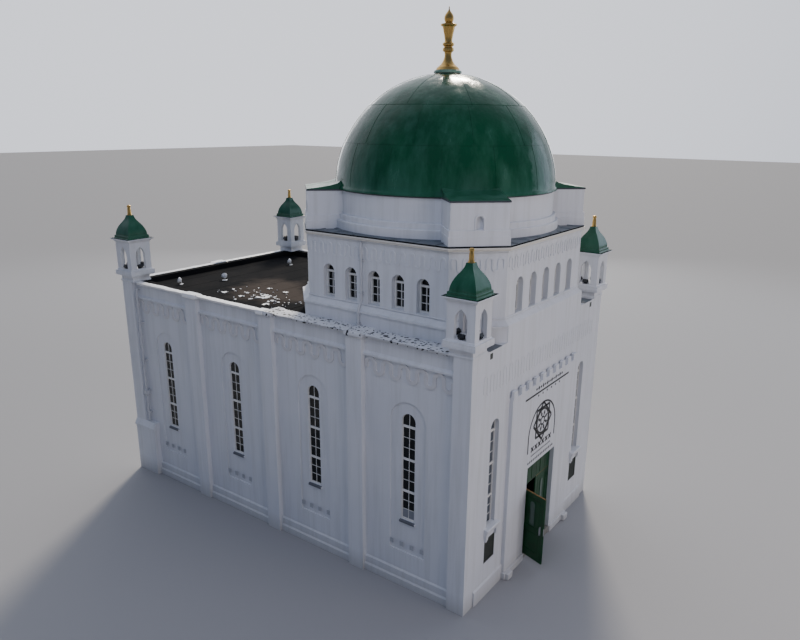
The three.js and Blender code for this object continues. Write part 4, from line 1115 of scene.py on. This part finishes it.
def addTurret(name):
    low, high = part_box(f"turret_{name}")
    x, y = (low.x + high.x) / 2, (low.y + high.y) / 2
    base = turret["eaves"]
    bm = bmesh.new()
    curve = smoothCurve([(*point, 0) for point in turret["roof"]], turret["curveSteps"])
    flange = turret["flange"] - 0.004
    profile = [(flange, base + turret["boardTop"]), (flange, base + turret["boardTop"] + 0.004)]
    squareStack(bm, profile + [(half, base + z) for half, z, _ in curve], x, y)
    finial = bmesh.new()
    turnProfile(finial, [(0, base + 0.74)] + [(r, base + z) for r, z in turretFinial["profile"]], x, y,
                turretFinial["steps"])
    piece = finishPiece(f"turret_roof_{name}_bell", bm, gelcoat, smoothAngle=30)
    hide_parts(f"turret_roof_{name}")
    finishPiece(f"turret_finial_{name}", finial, gilding, smoothAngle=40)
    # eaves board, cornice under it, and the stepped base round the lantern's foot
    bm = bmesh.new()
    squareStack(bm, [(turret["flange"], base + 0.001), (turret["flange"], base + turret["boardTop"])], x, y)
    cornice = [(half, base + z) for half, z in turret["cornice"]]
    for trim in (cornice, turret["baseMoulding"], turret["footCourse"]):
        part = bmesh.new()
        squareStack(part, trim, x, y)
        joinPart(bm, part)
    softenEdges(finishPiece(f"turret_trim_{name}", bm, paint), 0.005)
    bm = bmesh.new()
    for turn in (0, 90, 180, 270):
        part = bmesh.new()
        tilted = block(part, *floodlight["head"])
        block(part, *floodlight["foot"])
        for side in (-1, 1):
            u = side * floodlight["bracketAt"]
            block(part, (u - 0.007, -0.32, 7.181), (u + 0.007, -0.295, 7.27))
        for u in floodlight["fins"]:
            tilted += block(part, (u - 0.006, -0.27, 7.225), (u + 0.006, -0.235, 7.3))
        tilt = Matrix.Rotation(math.radians(-floodlight["tilt"]), 3, "X")
        bmesh.ops.rotate(part, verts=tilted, cent=floodlight["pivot"], matrix=tilt)
        placeAll(part, Matrix.Translation((x, y, 0)) @ Matrix.Rotation(math.radians(turn), 4, "Z"))
        joinPart(bm, part)
    softenEdges(finishPiece(f"turret_floodlights_{name}", bm, blackHousing), 0.006)


for name in ("front_left", "front_right", "rear_left", "rear_right"):
    addTurret(name)
print("turrets and finials made")


# Rainwater pipes: round pipe with swept bends, socket collars and straps back to the wall

pipeRun = {"radius": 0.034, "sides": 20, "bend": 0.06, "bendSteps": 6, "collar": 0.043, "collarTall": 0.07}


towerPipe = {
    "standoff": 0.046, "offset": 0.13, "kneeHigh": 7.46, "kneeLow": 7.18, "foot": 6.75, "outlet": 6.68,
    "upperCollars": (8.6, 7.53), "lowerCollar": 7.08, "straps": (8.45, 7.62), "lowerStrap": 6.84,
    "ledge": 0.128,
}
cornerPipe = {
    "standoff": 0.116, "outlet": 6.56, "intoHopper": 3.0, "belowHopper": 2.9, "foot": 1.965,
    "collars": (6.42, 5.0, 3.9, 3.08, 2.82, 2.0), "straps": (5.4, 4.1, 2.25),
    "hopper": ((0.045, 2.85), (0.075, 2.9), (0.088, 2.93), (0.088, 3.035), (0.096, 3.04), (0.096, 3.055)),
    "hopperOut": 0.022,
}


# carries a ring of vertices along a route of straight runs and swept bends
def addPipe(bm, route):
    size = pipeRun
    points = [Vector(point) for point in route]
    way = (points[1] - points[0]).normalized()
    matrix = Matrix.Translation(points[0]) @ way.to_track_quat("Z", "Y").to_matrix().to_4x4()
    ring = bmesh.ops.create_circle(bm, cap_ends=True, segments=size["sides"], radius=size["radius"],
                                   matrix=matrix)
    face = ring["verts"][0].link_faces[0]
    at = points[0]
    for here, after in zip(points[1:], points[2:] + [None]):
        if after is None:
            pullFace(bm, face, here - at)
            break
        onward = (after - here).normalized()
        half = way.angle(onward) / 2
        cut = size["bend"] * math.tan(half)
        face = pullFace(bm, face, here - way * cut - at)
        normal = way.cross(onward).normalized()
        centre = here - way * cut + normal.cross(way) * size["bend"]
        spun = bmesh.ops.spin(bm, geom=[face], cent=centre, axis=normal, angle=2 * half,
                              steps=size["bendSteps"])
        face = facesIn(spun["geom_last"])[0]
        at = here + onward * cut
        way = onward


def addCollar(bm, x, y, z):
    size = pipeRun
    matrix = Matrix.Translation((x, y, z))
    bmesh.ops.create_cone(bm, cap_ends=True, segments=size["sides"],
                          radius1=size["collar"], radius2=size["collar"],
                          depth=size["collarTall"], matrix=matrix)


def addStrap(bm, x, y, z, wallX):
    block(bm, (x - 0.045, y - 0.045, z), (x + 0.045, y + 0.045, z + 0.03))
    block(bm, (x, y - 0.07, z), (wallX, y + 0.07, z + 0.03))


def addTowerPipe():
    size = towerPipe
    low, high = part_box("tower_downpipe")
    y = (low.y + high.y) / 2
    face = -tower["half"]
    upper = face - size["standoff"]
    lower = upper - size["offset"]
    bm = bmesh.new()
    addPipe(bm, [(upper, y, high.z + 0.03), (upper, y, size["kneeHigh"]), (lower, y, size["kneeLow"]),
                 (lower, y, size["foot"]), (lower - 0.05, y, size["outlet"])])
    for z in size["upperCollars"]:
        addCollar(bm, upper, y, z)
    addCollar(bm, lower, y, size["lowerCollar"])
    for z in size["straps"]:
        addStrap(bm, upper, y, z, face + 0.002)
    addStrap(bm, lower, y, size["lowerStrap"], face - size["ledge"])
    piece = finishPiece("tower_rain_pipe", bm, pipePaint)
    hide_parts("tower_downpipe")


def addCornerPipe():
    size = cornerPipe
    low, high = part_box("corner_downpipe")
    y = (low.y + high.y) / 2
    face = -hall["halfWidth"] + hall["bayRecess"]
    x = face - size["standoff"]
    bm = bmesh.new()
    addPipe(bm, [(face + 0.005, y, size["outlet"]), (x, y, size["outlet"]), (x, y, size["intoHopper"])])
    addPipe(bm, [(x, y, size["belowHopper"]), (x, y, size["foot"])])
    for z in size["collars"]:
        addCollar(bm, x, y, z)
    for z in size["straps"]:
        addStrap(bm, x, y, z, face + 0.002)
    # hopper: a square box drawn in towards its outlet
    hopper = bmesh.new()
    squareStack(hopper, size["hopper"], x + size["hopperOut"], y)
    joinPart(bm, hopper)
    block(bm, (x + 0.1, y - 0.03, 2.95), (face + 0.002, y + 0.03, 3.0))
    piece = finishPiece("corner_rain_pipe", bm, pipePaint)
    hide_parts("corner_downpipe")


addTowerPipe()
addCornerPipe()
print("rainwater pipes made")


# Door leaves: framed timber with raised mouldings, a narrow vision panel, hinges and a pull handle

doorLeaf = {
    "near": 0.0075, "far": 0.8075, "foot": 0.208, "top": 2.2, "face": 0.012, "back": 0.057,
    "stile": 0.11, "moulding": 0.022, "sink": 0.012,
    "visionMid": 0.385, "visionHalf": 0.06, "visionFoot": 1.26, "visionSpring": 1.88, "bead": 0.022,
    "handleU": 0.7, "handleZ": 1.2, "handleHalf": 0.02,
    "restAngle": 108, "lockRail": 0.86, "field": 0.065, "hinges": (0.38, 1.13, 1.9), "knuckle": 0.009,
}


def addDoorLeaf(side, hand):
    size = doorLeaf
    joint = next(joint for joint in frame["joints"] if joint["name"] == f"door_{side}_hinge")
    x, y, _ = joint["pos_m"]
    place = Matrix.Translation((x, y, 0))
    if side == "left":
        place = place @ Matrix.Rotation(math.radians(-size["restAngle"]), 4, "Z")
    place = place @ Matrix.Diagonal((hand, 1, 1, 1))
    near, far, foot, top = size["near"], size["far"], size["foot"], size["top"]
    face, back, sink, stile = size["face"], size["back"], size["sink"], size["stile"]
    lock = foot + size["lockRail"]
    mould, field = size["moulding"], size["field"]
    bm = bmesh.new()
    block(bm, (near, face + sink, foot), (far, back - sink, top))
    for low, high in (((near, foot), (near + stile, top)), ((far - stile, foot), (far, top)),
                      ((near + stile, foot), (far - stile, foot + 2 * stile)),
                      ((near + stile, top - stile), (far - stile, top)),
                      ((near + stile, lock), (far - stile, lock + stile))):
        block(bm, (low[0], face, low[1]), (high[0], face + sink + 0.001, high[1]))
        block(bm, (low[0], back - sink - 0.001, low[1]), (high[0], back, high[1]))
    openings = [(near + stile, foot + 2 * stile, far - stile, lock),
                (near + stile, lock + stile, far - stile, top - stile)]
    for u0, z0, u1, z1 in openings:
        for a, b in ((face + 0.003, face + sink + 0.002), (back - sink - 0.002, back - 0.003)):
            block(bm, (u0, a, z0), (u1, b, z0 + mould))
            block(bm, (u0, a, z1 - mould), (u1, b, z1))
            block(bm, (u0, a, z0 + mould), (u0 + mould, b, z1 - mould))
            block(bm, (u1 - mould, a, z0 + mould), (u1, b, z1 - mould))
            block(bm, (u0 + field, a + 0.004, z0 + field), (u1 - field, b, z1 - field))
    for z in size["hinges"]:
        bmesh.ops.create_cone(bm, cap_ends=True, segments=20,
                              radius1=size["knuckle"], radius2=size["knuckle"], depth=0.0397,
                              matrix=Matrix.Translation((0, 0, z + 0.06015)))
        block(bm, (0.004, 0.005, z + 0.0403), (0.035, 0.014, z + 0.08))
    placeAll(bm, place)
    body = f"door_{side}"
    piece = softenEdges(finishPiece(f"door_{side}_panelled", bm, doorGloss, body), 0.003)
    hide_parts(f"door_leaf_{side}")
    # bare top edge, vision panel with its beads, and the handle with its plate
    bm = bmesh.new()
    block(bm, (near, face - 0.0005, top - 0.002), (far, back + 0.0005, top + 0.004))
    placeAll(bm, place)
    finishPiece(f"door_{side}_bare_top", bm, bareTimber, body)
    half, bead, z0, spring = size["visionHalf"], size["bead"], size["visionFoot"], size["visionSpring"]
    vision = place @ Matrix.Translation((size["visionMid"], 0, 0))
    bm = bmesh.new()
    archPlate(bm, half, z0, spring, face - 0.002, back + 0.002, 12)
    placeAll(bm, vision)
    finishPiece(f"door_{side}_vision_pane", bm, paleGlass, body)
    bm = bmesh.new()
    for a, b in ((face - 0.008, face + sink + 0.004), (back - sink - 0.004, back + 0.008)):
        archBand(bm, half + bead, z0, spring, bead + 0.004, a, b, 12)
        block(bm, (-half - bead, a, z0 - bead), (half + bead, b, z0 + 0.003))
    placeAll(bm, vision)
    softenEdges(finishPiece(f"door_{side}_vision_beads", bm, beadGloss, body), 0.003)
    bm = bmesh.new()
    u, z = size["handleU"], size["handleZ"]
    plate = size["handleHalf"]
    block(bm, (u - plate, face - 0.004, z - 0.13), (u + plate, face + 0.001, z + 0.13))
    for end in (z - 0.1, z + 0.1):
        addRound(bm, (u, face - 0.002, end), (u, face - 0.045, end), 0.009)
    addRound(bm, (u, face - 0.04, z - 0.12), (u, face - 0.04, z + 0.12), 0.0095)
    block(bm, (far - 0.003, face + 0.008, z - 0.11), (far + 0.0015, back - 0.008, z + 0.11))
    placeAll(bm, place)
    softenEdges(finishPiece(f"door_{side}_handle", bm, brushedSteel, body), 0.002)


# a short round bar between two points
def addRound(bm, start, end, radius, segments=16):
    a, b = Vector(start), Vector(end)
    matrix = Matrix.Translation((a + b) / 2) @ (b - a).to_track_quat("Z", "Y").to_matrix().to_4x4()
    bmesh.ops.create_cone(bm, cap_ends=True, segments=segments, radius1=radius, radius2=radius,
                          depth=(b - a).length, matrix=matrix)


addDoorLeaf("left", 1)
addDoorLeaf("right", -1)


# Door frame's head: vertical boards under a top rail
doorHead = {"half": 0.815, "foot": 2.27, "top": 2.795, "boards": 6, "rail": 0.07, "setback": 0.018}


def addDoorHead():
    size = doorHead
    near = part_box("door_frame")[0].y + size["setback"]
    bm = bmesh.new()
    width = 2 * size["half"] / size["boards"]
    for i in range(size["boards"]):
        u = -size["half"] + i * width
        block(bm, (u + 0.003, near, size["foot"]), (u + width - 0.003, near + 0.014, size["top"]))
    block(bm, (-size["half"], near - 0.012, size["top"] - size["rail"]),
          (size["half"], near + 0.004, size["top"]))
    for u in (-size["half"] / 3, size["half"] / 3):
        block(bm, (u - 0.035, near - 0.01, size["foot"]),
              (u + 0.035, near + 0.004, size["top"] - size["rail"]))
    softenEdges(finishPiece("door_head_boards", bm, doorGloss), 0.003)


addDoorHead()
print("doors made")


# Painted ornament of the portal: black lines and plain geometry, laid 4 mm proud of the white face

portalOrnament = {
    "face": -hall["portalProjection"], "proud": 0.004,
    "barZ": 4.94, "barLeft": -1.25, "barRight": 1.5, "barTall": 0.05, "centre": -0.1,
    "archHalf": 0.86, "archSpring": 3.72, "archFoot": 3.3, "archWidth": 0.05,
    "starZ": 4.0, "starRadius": 0.56, "starLine": 0.07,
    "ringLine": 0.05, "rings": (0.62, 0.2), "ringSteps": 32,
    "leafAt": 0.4, "leafLong": 0.18, "leafWide": 0.09,
    "lozengeZ": 5.07, "lozenges": 13, "lozengePitch": 0.135, "lozengeHalf": 0.055, "lozengeShift": 0.2,
    "bandZ": (3.34, 3.15, 2.99), "bandTall": (0.17, 0.06, 0.09), "bandHalf": (0.66, 0.62, 0.82),
}


# flat strip between two points of the wall, as a thin plate
def addStroke(bm, start, end, width):
    a, b = Vector((start[0], 0, start[1])), Vector((end[0], 0, end[1]))
    size = portalOrnament
    turn = Matrix.Rotation(-math.atan2(b.z - a.z, b.x - a.x), 4, "Y")
    matrix = Matrix.Translation((a + b) / 2 + Vector((0, size["face"], 0))) @ turn
    matrix = matrix @ Matrix.Diagonal(((b - a).length, 2 * size["proud"], width, 1))
    bmesh.ops.create_cube(bm, size=1, matrix=matrix)


def addLozenge(bm, u, z, halfWide, halfTall):
    size = portalOrnament
    matrix = (Matrix.Translation((u, size["face"], z)) @ Matrix.Diagonal((halfWide, 1, halfTall, 1))
              @ Matrix.Rotation(math.pi / 2, 4, "X"))
    bmesh.ops.create_cone(bm, cap_ends=True, segments=4, radius1=1, radius2=1, depth=2 * size["proud"],
                          matrix=matrix)


def addPortalOrnament():
    size = portalOrnament
    bm = bmesh.new()
    block(bm, (size["barLeft"], size["face"] - size["proud"], size["barZ"] - size["barTall"] / 2),
          (size["barRight"], size["face"] + 0.001, size["barZ"] + size["barTall"] / 2))
    for i in range(size["lozenges"]):
        u = (i - (size["lozenges"] - 1) / 2) * size["lozengePitch"] + size["lozengeShift"]
        addLozenge(bm, u, size["lozengeZ"], size["lozengeHalf"],
                   size["lozengeHalf"] * (1.2 if i % 2 else 0.7))
        if i % 2:
            addLozenge(bm, u, size["barZ"] - 0.09, 0.04, 0.035)
    emblem = bmesh.new()
    archBand(emblem, size["archHalf"], size["archFoot"], size["archSpring"], size["archWidth"],
             size["face"] - size["proud"], size["face"] + 0.001, 40)
    # eight-pointed star of two crossed squares, a ring through it and eight leaves inside
    radius, z0 = size["starRadius"], size["starZ"]
    for start in (0, math.pi / 4):
        angles = [start + i * math.pi / 2 for i in range(5)]
        points = [(radius * math.cos(angle), z0 + radius * math.sin(angle)) for angle in angles]
        for a, b in zip(points, points[1:]):
            addStroke(emblem, a, b, size["starLine"])
    steps = size["ringSteps"]
    for ring in (radius * share for share in size["rings"]):
        for i in range(steps):
            a, b = (2 * math.pi * (i + k) / steps for k in (0, 1.02))
            ends = [(ring * math.cos(angle), z0 + ring * math.sin(angle)) for angle in (a, b)]
            addStroke(emblem, ends[0], ends[1], size["ringLine"])
    for i in range(8):
        part = bmesh.new()
        addLozenge(part, radius * size["leafAt"], 0, radius * size["leafLong"], radius * size["leafWide"])
        turn = Matrix.Rotation(i * math.pi / 4 + math.pi / 8, 4, "Y")
        placeAll(part, Matrix.Translation((0, 0, z0)) @ turn)
        joinPart(emblem, part)
    # three bands over the door: crosses, dots and small lozenges
    for z, tall, half in zip(size["bandZ"], size["bandTall"], size["bandHalf"]):
        count = round(2 * half / (tall * 1.25))
        for i in range(count):
            u = -half + (i + 0.5) * 2 * half / count
            if tall > 0.1:
                wide, rise = tall * 0.42, tall * 0.4
                addStroke(emblem, (u - wide, z - rise), (u + wide, z + rise), tall * 0.3)
                addStroke(emblem, (u - wide, z + rise), (u + wide, z - rise), tall * 0.3)
            else:
                addLozenge(emblem, u, z, tall * 0.4, tall * 0.5)
    bmesh.ops.translate(emblem, verts=emblem.verts, vec=(size["centre"], 0, 0))
    joinPart(bm, emblem)
    placeAll(bm, walls["front"])
    finishPiece("portal_ornament", bm, signBlack)


addPortalOrnament()
print("portal ornament made")


# Parapet coping: a white membrane dressed over the wall tops, wavy at its lower edge

coping = {"top": 6.762, "rise": 0.014, "drop": 0.075, "step": 0.07, "thick": 0.006, "lump": 0.03,
          "proud": 0.04, "pilasterHalf": 0.29, "turretClear": 0.66, "rearHalf": 3.24, "flakedInner": 0.575,
          "whiteInner": 0.21}


# one run of membrane along a wall between u0 and u1; out gives how far the wall's top stands out at u
def addCopingRun(name, face, u0, u1, out, material, inner):
    size = coping
    columns = max(2, round((u1 - u0) / size["step"]))
    across = [(-1, -size["drop"]), (-1, -0.035), (-1, 0), (-0.8, 1), (-0.4, 1), (0, 1), (0.5, 1), (1, 1),
              (1.02, 0), (1.02, -0.06)]
    bm = bmesh.new()
    line = [bm.verts.new((u0, side, z)) for side, z in across]
    made = [bm.edges.new(pair) for pair in zip(line, line[1:])]
    for _ in range(columns):
        new = bmesh.ops.extrude_edge_only(bm, edges=made)["geom"]
        bmesh.ops.translate(bm, verts=vertsIn(new), vec=((u1 - u0) / columns, 0, 0))
        ring = set(vertsIn(new))
        made = [edge for edge in edgesIn(new) if edge.verts[0] in ring and edge.verts[1] in ring]
    for vert in bm.verts:
        u, side, z = vert.co
        wave = noise.noise(Vector((u * 2.3, side * 1.7, face.translation.x + face.translation.y)))
        fine = noise.noise(Vector((u * 9, side * 5, 4.0)))
        reach = out(u) + 0.018
        n = reach * side if side < 0 else inner * min(side, 1)
        if side > 1:
            n += 0.012
        if z < -0.03 and side < 0:
            n -= 0.012 * abs(wave)
        lump = size["lump"] * max(0, min(1, (out(u) + 0.11) / 0.15))
        lift = size["rise"] + lump if z == 1 else z
        flap = -0.03 * wave - 0.012 * fine if z < -0.05 else 0
        vert.co = (u, n + 0.006 * fine, size["top"] + lift + flap + 0.012 * wave + 0.006 * fine)
    placeAll(bm, face)
    piece = finishPiece(name, bm, material, smoothAngle=60)
    shell = piece.modifiers.new("thickness", "SOLIDIFY")
    shell.thickness = size["thick"]
    shell.offset = 1


# how far the top of a bayed wall stands out at u: more over its pilasters
def wallTopOut(centres):
    raised = coping["proud"]
    plain = raised - hall["bayRecess"]
    middles = [(a + b) / 2 for a, b in zip(centres, centres[1:])]
    return lambda u: raised if any(abs(u - middle) < coping["pilasterHalf"] for middle in middles) else plain


frontEnd = hall["frontFace"] - coping["turretClear"]
rearEnd = hall["rearFace"] - coping["turretClear"]
towerBack = axisY + tower["half"] + 0.1
# name, wall, ends of the run along it, membrane and how far it reaches over the wall's top
copingRuns = [
    ("left_coping_rear", "left", -rearEnd, -towerBack, foilWhite, coping["whiteInner"]),
    ("left_coping_front", "left", -towerBack, frontEnd, flakedPaint, coping["flakedInner"]),
    ("right_coping_front", "right", -frontEnd, towerBack, flakedPaint, coping["flakedInner"]),
    ("right_coping_rear", "right", towerBack, rearEnd, foilWhite, coping["whiteInner"]),
    ("rear_coping", "rear", -coping["rearHalf"], coping["rearHalf"], foilWhite, coping["whiteInner"]),
]
for name, side, u0, u1, membrane, inner in copingRuns:
    addCopingRun(name, walls[side], u0, u1, wallTopOut(sorted(bays[side])), membrane, inner)
print("copings made")


# Roof: lapped felt strips, an upstand inside the parapet, lamps on brackets and flakes of old membrane

roof = {"top": 6.6, "strip": 0.93, "thick": 0.005, "upstand": 0.172, "lap": 0.19, "flakes": 80, "seed": 7,
        "flakeMiddle": (-2.2, 1.9), "flakeSpread": (0.45, 1.0), "flakeLeast": 0.018, "flakeMore": 0.085}


def addRoofFelt():
    low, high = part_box("main_roof")
    bm = bmesh.new()
    y = towerBack + 0.12
    while y < high.y - 0.05:
        end = min(y + roof["strip"] + 0.08, high.y - 0.02)
        part = block(bm, (low.x + 0.02, y, roof["top"] + 0.001),
                     (high.x - 0.02, end, roof["top"] + roof["thick"]))
        for vert in part:
            if vert.co.y < y + 0.01:
                vert.co.z += 0.004
        y += roof["strip"]
    inner = 0.012
    for x0, x1 in ((low.x - 0.002, low.x + inner), (high.x - inner, high.x + 0.002)):
        block(bm, (x0, towerBack + 0.1, roof["top"]), (x1, high.y, roof["top"] + roof["upstand"]))
    block(bm, (low.x, high.y - inner, roof["top"]), (high.x, high.y + 0.002, roof["top"] + roof["upstand"]))
    # the felt laps over the inner half of the wall tops
    cover = roof["top"] + roof["upstand"]
    across, back = hall["halfWidth"] - roof["lap"], hall["rearFace"] - roof["lap"]
    for x0, x1 in ((-across, low.x + inner), (high.x - inner, across)):
        block(bm, (x0, towerBack + 0.1, cover - 0.006), (x1, back, cover + 0.0005))
    block(bm, (low.x, high.y - inner, cover - 0.005), (high.x, back, cover + 0.001))
    finishPiece("roof_felt_strips", bm, felt)


def addRoofFlakes():
    low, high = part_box("main_roof")
    draw = random.Random(roof["seed"])
    middle, spread = roof["flakeMiddle"], roof["flakeSpread"]
    bm = bmesh.new()
    for _ in range(roof["flakes"]):
        x = max(low.x + 0.15, draw.gauss(middle[0], spread[0]))
        y = draw.gauss(middle[1], spread[1])
        if not towerBack + 0.2 < y < high.y - 0.4:
            continue
        size = roof["flakeLeast"] + roof["flakeMore"] * draw.random() ** 3
        part = bmesh.new()
        bmesh.ops.create_grid(part, x_segments=3, y_segments=3, size=size)
        for vert in part.verts:
            vert.co.x *= draw.uniform(0.5, 1.3)
            vert.co.y *= draw.uniform(0.3, 1.1)
            vert.co.z += draw.uniform(0, 0.03)
        bmesh.ops.solidify(part, geom=part.faces[:], thickness=0.003)
        turn = Matrix.Rotation(draw.uniform(0, 6.28), 4, "Z")
        placeAll(part, Matrix.Translation((x, y, roof["top"] + 0.012)) @ turn)
        joinPart(bm, part)
    finishPiece("roof_membrane_flakes", bm, foilWhite, smoothAngle=60)


# each spot gives x, y and the way the lamp is turned
roofLamp = {
    "spots": ((-2.68, 5.5, 215), (-1.4, 4.85, 150), (1.9, 5.0, 200)), "scale": 0.72, "tilt": 70,
    "bowl": ((0.0, 0.0), (0.05, 0.002), (0.085, 0.03), (0.12, 0.085), (0.135, 0.14), (0.128, 0.142),
             (0.11, 0.09), (0.07, 0.035), (0.0, 0.02)),
}


def addRoofLamps():
    for i, (x, y, turn) in enumerate(roofLamp["spots"], 1):
        bm = bmesh.new()
        base = roof["top"] + roof["thick"]
        block(bm, (-0.11, -0.06, base), (0.11, 0.06, base + 0.02))
        addRound(bm, (0, 0, base + 0.02), (0, 0, base + 0.14), 0.014)
        bowl = bmesh.new()
        turnProfile(bowl, roofLamp["bowl"], 0, 0, 32)
        tilt = Matrix.Rotation(math.radians(roofLamp["tilt"]), 4, "X")
        placeAll(bowl, Matrix.Translation((0, 0, base + 0.16)) @ tilt)
        joinPart(bm, bowl)
        shrink = (Matrix.Translation((x, y, roof["top"])) @ Matrix.Scale(roofLamp["scale"], 4)
                  @ Matrix.Translation((0, 0, -roof["top"])))
        placeAll(bm, shrink @ Matrix.Rotation(math.radians(turn), 4, "Z"))
        finishPiece(f"roof_lamp_{i}", bm, whiteEnamel)


addRoofFelt()
addRoofFlakes()
addRoofLamps()
print("roof made")


# Tower eaves: cream gutter under the lead edge, lead sheets and an upstand round the drum's foot

# near, far, foot and top of the sill course and the nosing
eaves = {
    "foot": 8.972, "lip": 9.048, "near": 0.061, "far": 0.094,
    "leadLow": 9.081, "leadHigh": 9.089, "leadOut": 0.064, "skirtTop": 9.115,
    "sillCourse": (-0.01, 0.03, 7.318, 7.345), "nosing": (0.1, 0.172, 7.125, 7.182),
    "rollPitch": 0.62, "rollRadius": 0.016,
}


def towerOutline(grow, z):
    a = tower["half"] + grow
    b = tower["half"] - tower["chamfer"] + grow * math.tan(math.pi / 8)
    corners = ((a, b), (b, a), (-b, a), (-a, b), (-a, -b), (-b, -a), (b, -a), (a, -b))
    return [(x, y + axisY, z) for x, y in corners]


# a mitred band round the tower, from grow = near to grow = far
def addTowerBand(bm, near, far, low, high):
    part = bmesh.new()
    face = part.faces.new([part.verts.new(spot) for spot in towerOutline(far, low)])
    part.normal_update()
    bmesh.ops.inset_region(part, faces=[face], thickness=far - near, use_boundary=True, use_even_offset=True)
    bmesh.ops.delete(part, geom=[face], context="FACES")
    made = bmesh.ops.extrude_face_region(part, geom=part.faces[:])["geom"]
    bmesh.ops.translate(part, verts=vertsIn(made), vec=(0, 0, high - low))
    joinPart(bm, part)


def addTowerEaves():
    size = eaves
    bm = bmesh.new()
    addTowerBand(bm, size["near"], size["far"], size["foot"] + 0.03, size["lip"])
    addTowerBand(bm, 0.0, size["far"] - 0.012, size["foot"], size["foot"] + 0.028)
    softenEdges(finishPiece("tower_gutter", bm, creamPaint), 0.01)
    # thin sill course under the lights, and the nosing at the foot of the weathering below it
    bm = bmesh.new()
    addTowerBand(bm, *size["sillCourse"])
    addTowerBand(bm, *size["nosing"])
    inWall = -hall["frontFace"] + 0.02
    bmesh.ops.bisect_plane(bm, geom=bm.verts[:] + bm.edges[:] + bm.faces[:], plane_co=(0, inWall, 0),
                           plane_no=(0, -1, 0), clear_outer=True)
    softenEdges(finishPiece("tower_sill_course", bm, paint), 0.006)
    # lead sheets laid to fall towards the gutter, with rolls where they meet
    bm = bmesh.new()
    addTowerBand(bm, -0.5, size["leadOut"], size["leadLow"], size["leadHigh"])
    for face in towerFaces.values():
        part = bmesh.new()
        for i in range(-3, 4):
            z = size["leadHigh"] + 0.004
            u = i * size["rollPitch"]
            addRound(part, (u, -0.07, z), (u, 0.5, z), size["rollRadius"], 10)
        placeAll(part, face)
        joinPart(bm, part)
    wall = drum["outer"] + 0.16
    low = size["leadHigh"]
    band = [(wall - 0.02, low - 0.005), (wall + 0.09, low - 0.005), (wall + 0.085, low + 0.008),
            (wall + 0.036, low + 0.02),
            (wall + 0.036, size["skirtTop"]), (wall - 0.02, size["skirtTop"]), (wall - 0.02, low - 0.005)]
    part = bmesh.new()
    turnProfile(part, band, 0, axisY, drum["steps"])
    joinPart(bm, part)
    finishPiece("tower_lead_edge", bm, weatheredLead)


addTowerEaves()
print("tower eaves made")


# Portal: stepped plinths and blocks at its feet

portalPlinth = {"inner": 0.885, "outer": 1.98, "tall": 0.21, "out": 0.05, "blockInner": 1.7, "blockOut": 0.25,
                "blockTall": 0.2}


def addPortalPlinths():
    size = portalPlinth
    bm = bmesh.new()
    for side in (-1, 1):
        low, high = sorted((side * size["inner"], side * (size["outer"] + 0.03)))
        part = bmesh.new()
        block(part, (low, -hall["portalProjection"] - size["out"], 0.001), (high, -0.01, size["tall"]))
        low, high = sorted((side * size["blockInner"], side * (size["outer"] - 0.01)))
        block(part, (low, -size["blockOut"], 0.001), (high, -0.02, size["blockTall"]))
        joinPart(bm, part)
    placeAll(bm, walls["front"])
    softenEdges(finishPiece("portal_plinths", bm, paint), 0.02)


# lead flats on the wall top beside the front turrets, with a dark plate below each that paints the shade inside an
# overflow opening
overflow = {"near": 2.55, "far": 3.13, "lead": 6.764, "slotLow": 6.56, "slotHigh": 6.70, "slotNear": 2.98,
            "slotFar": 3.1}


def addOverflows():
    flats, slots = bmesh.new(), bmesh.new()
    size = overflow
    for side in (-1, 1):
        low, high = sorted((side * size["near"], side * size["far"]))
        block(flats, (low, -0.012, size["lead"] - 0.004), (high, 0.34, size["lead"] + 0.008))
        low, high = sorted((side * size["slotNear"], side * size["slotFar"]))
        # dark plate: painted shade of the overflow opening
        block(slots, (low, -0.006, size["slotLow"]), (high, 0.01, size["slotHigh"]))
    for bm, name, material in ((flats, "wall_top_lead", weatheredLead),
                               (slots, "parapet_overflow_shade", ventIron)):
        placeAll(bm, walls["front"])
        finishPiece(name, bm, material)


addPortalPlinths()
addOverflows()
print("portal trim made")
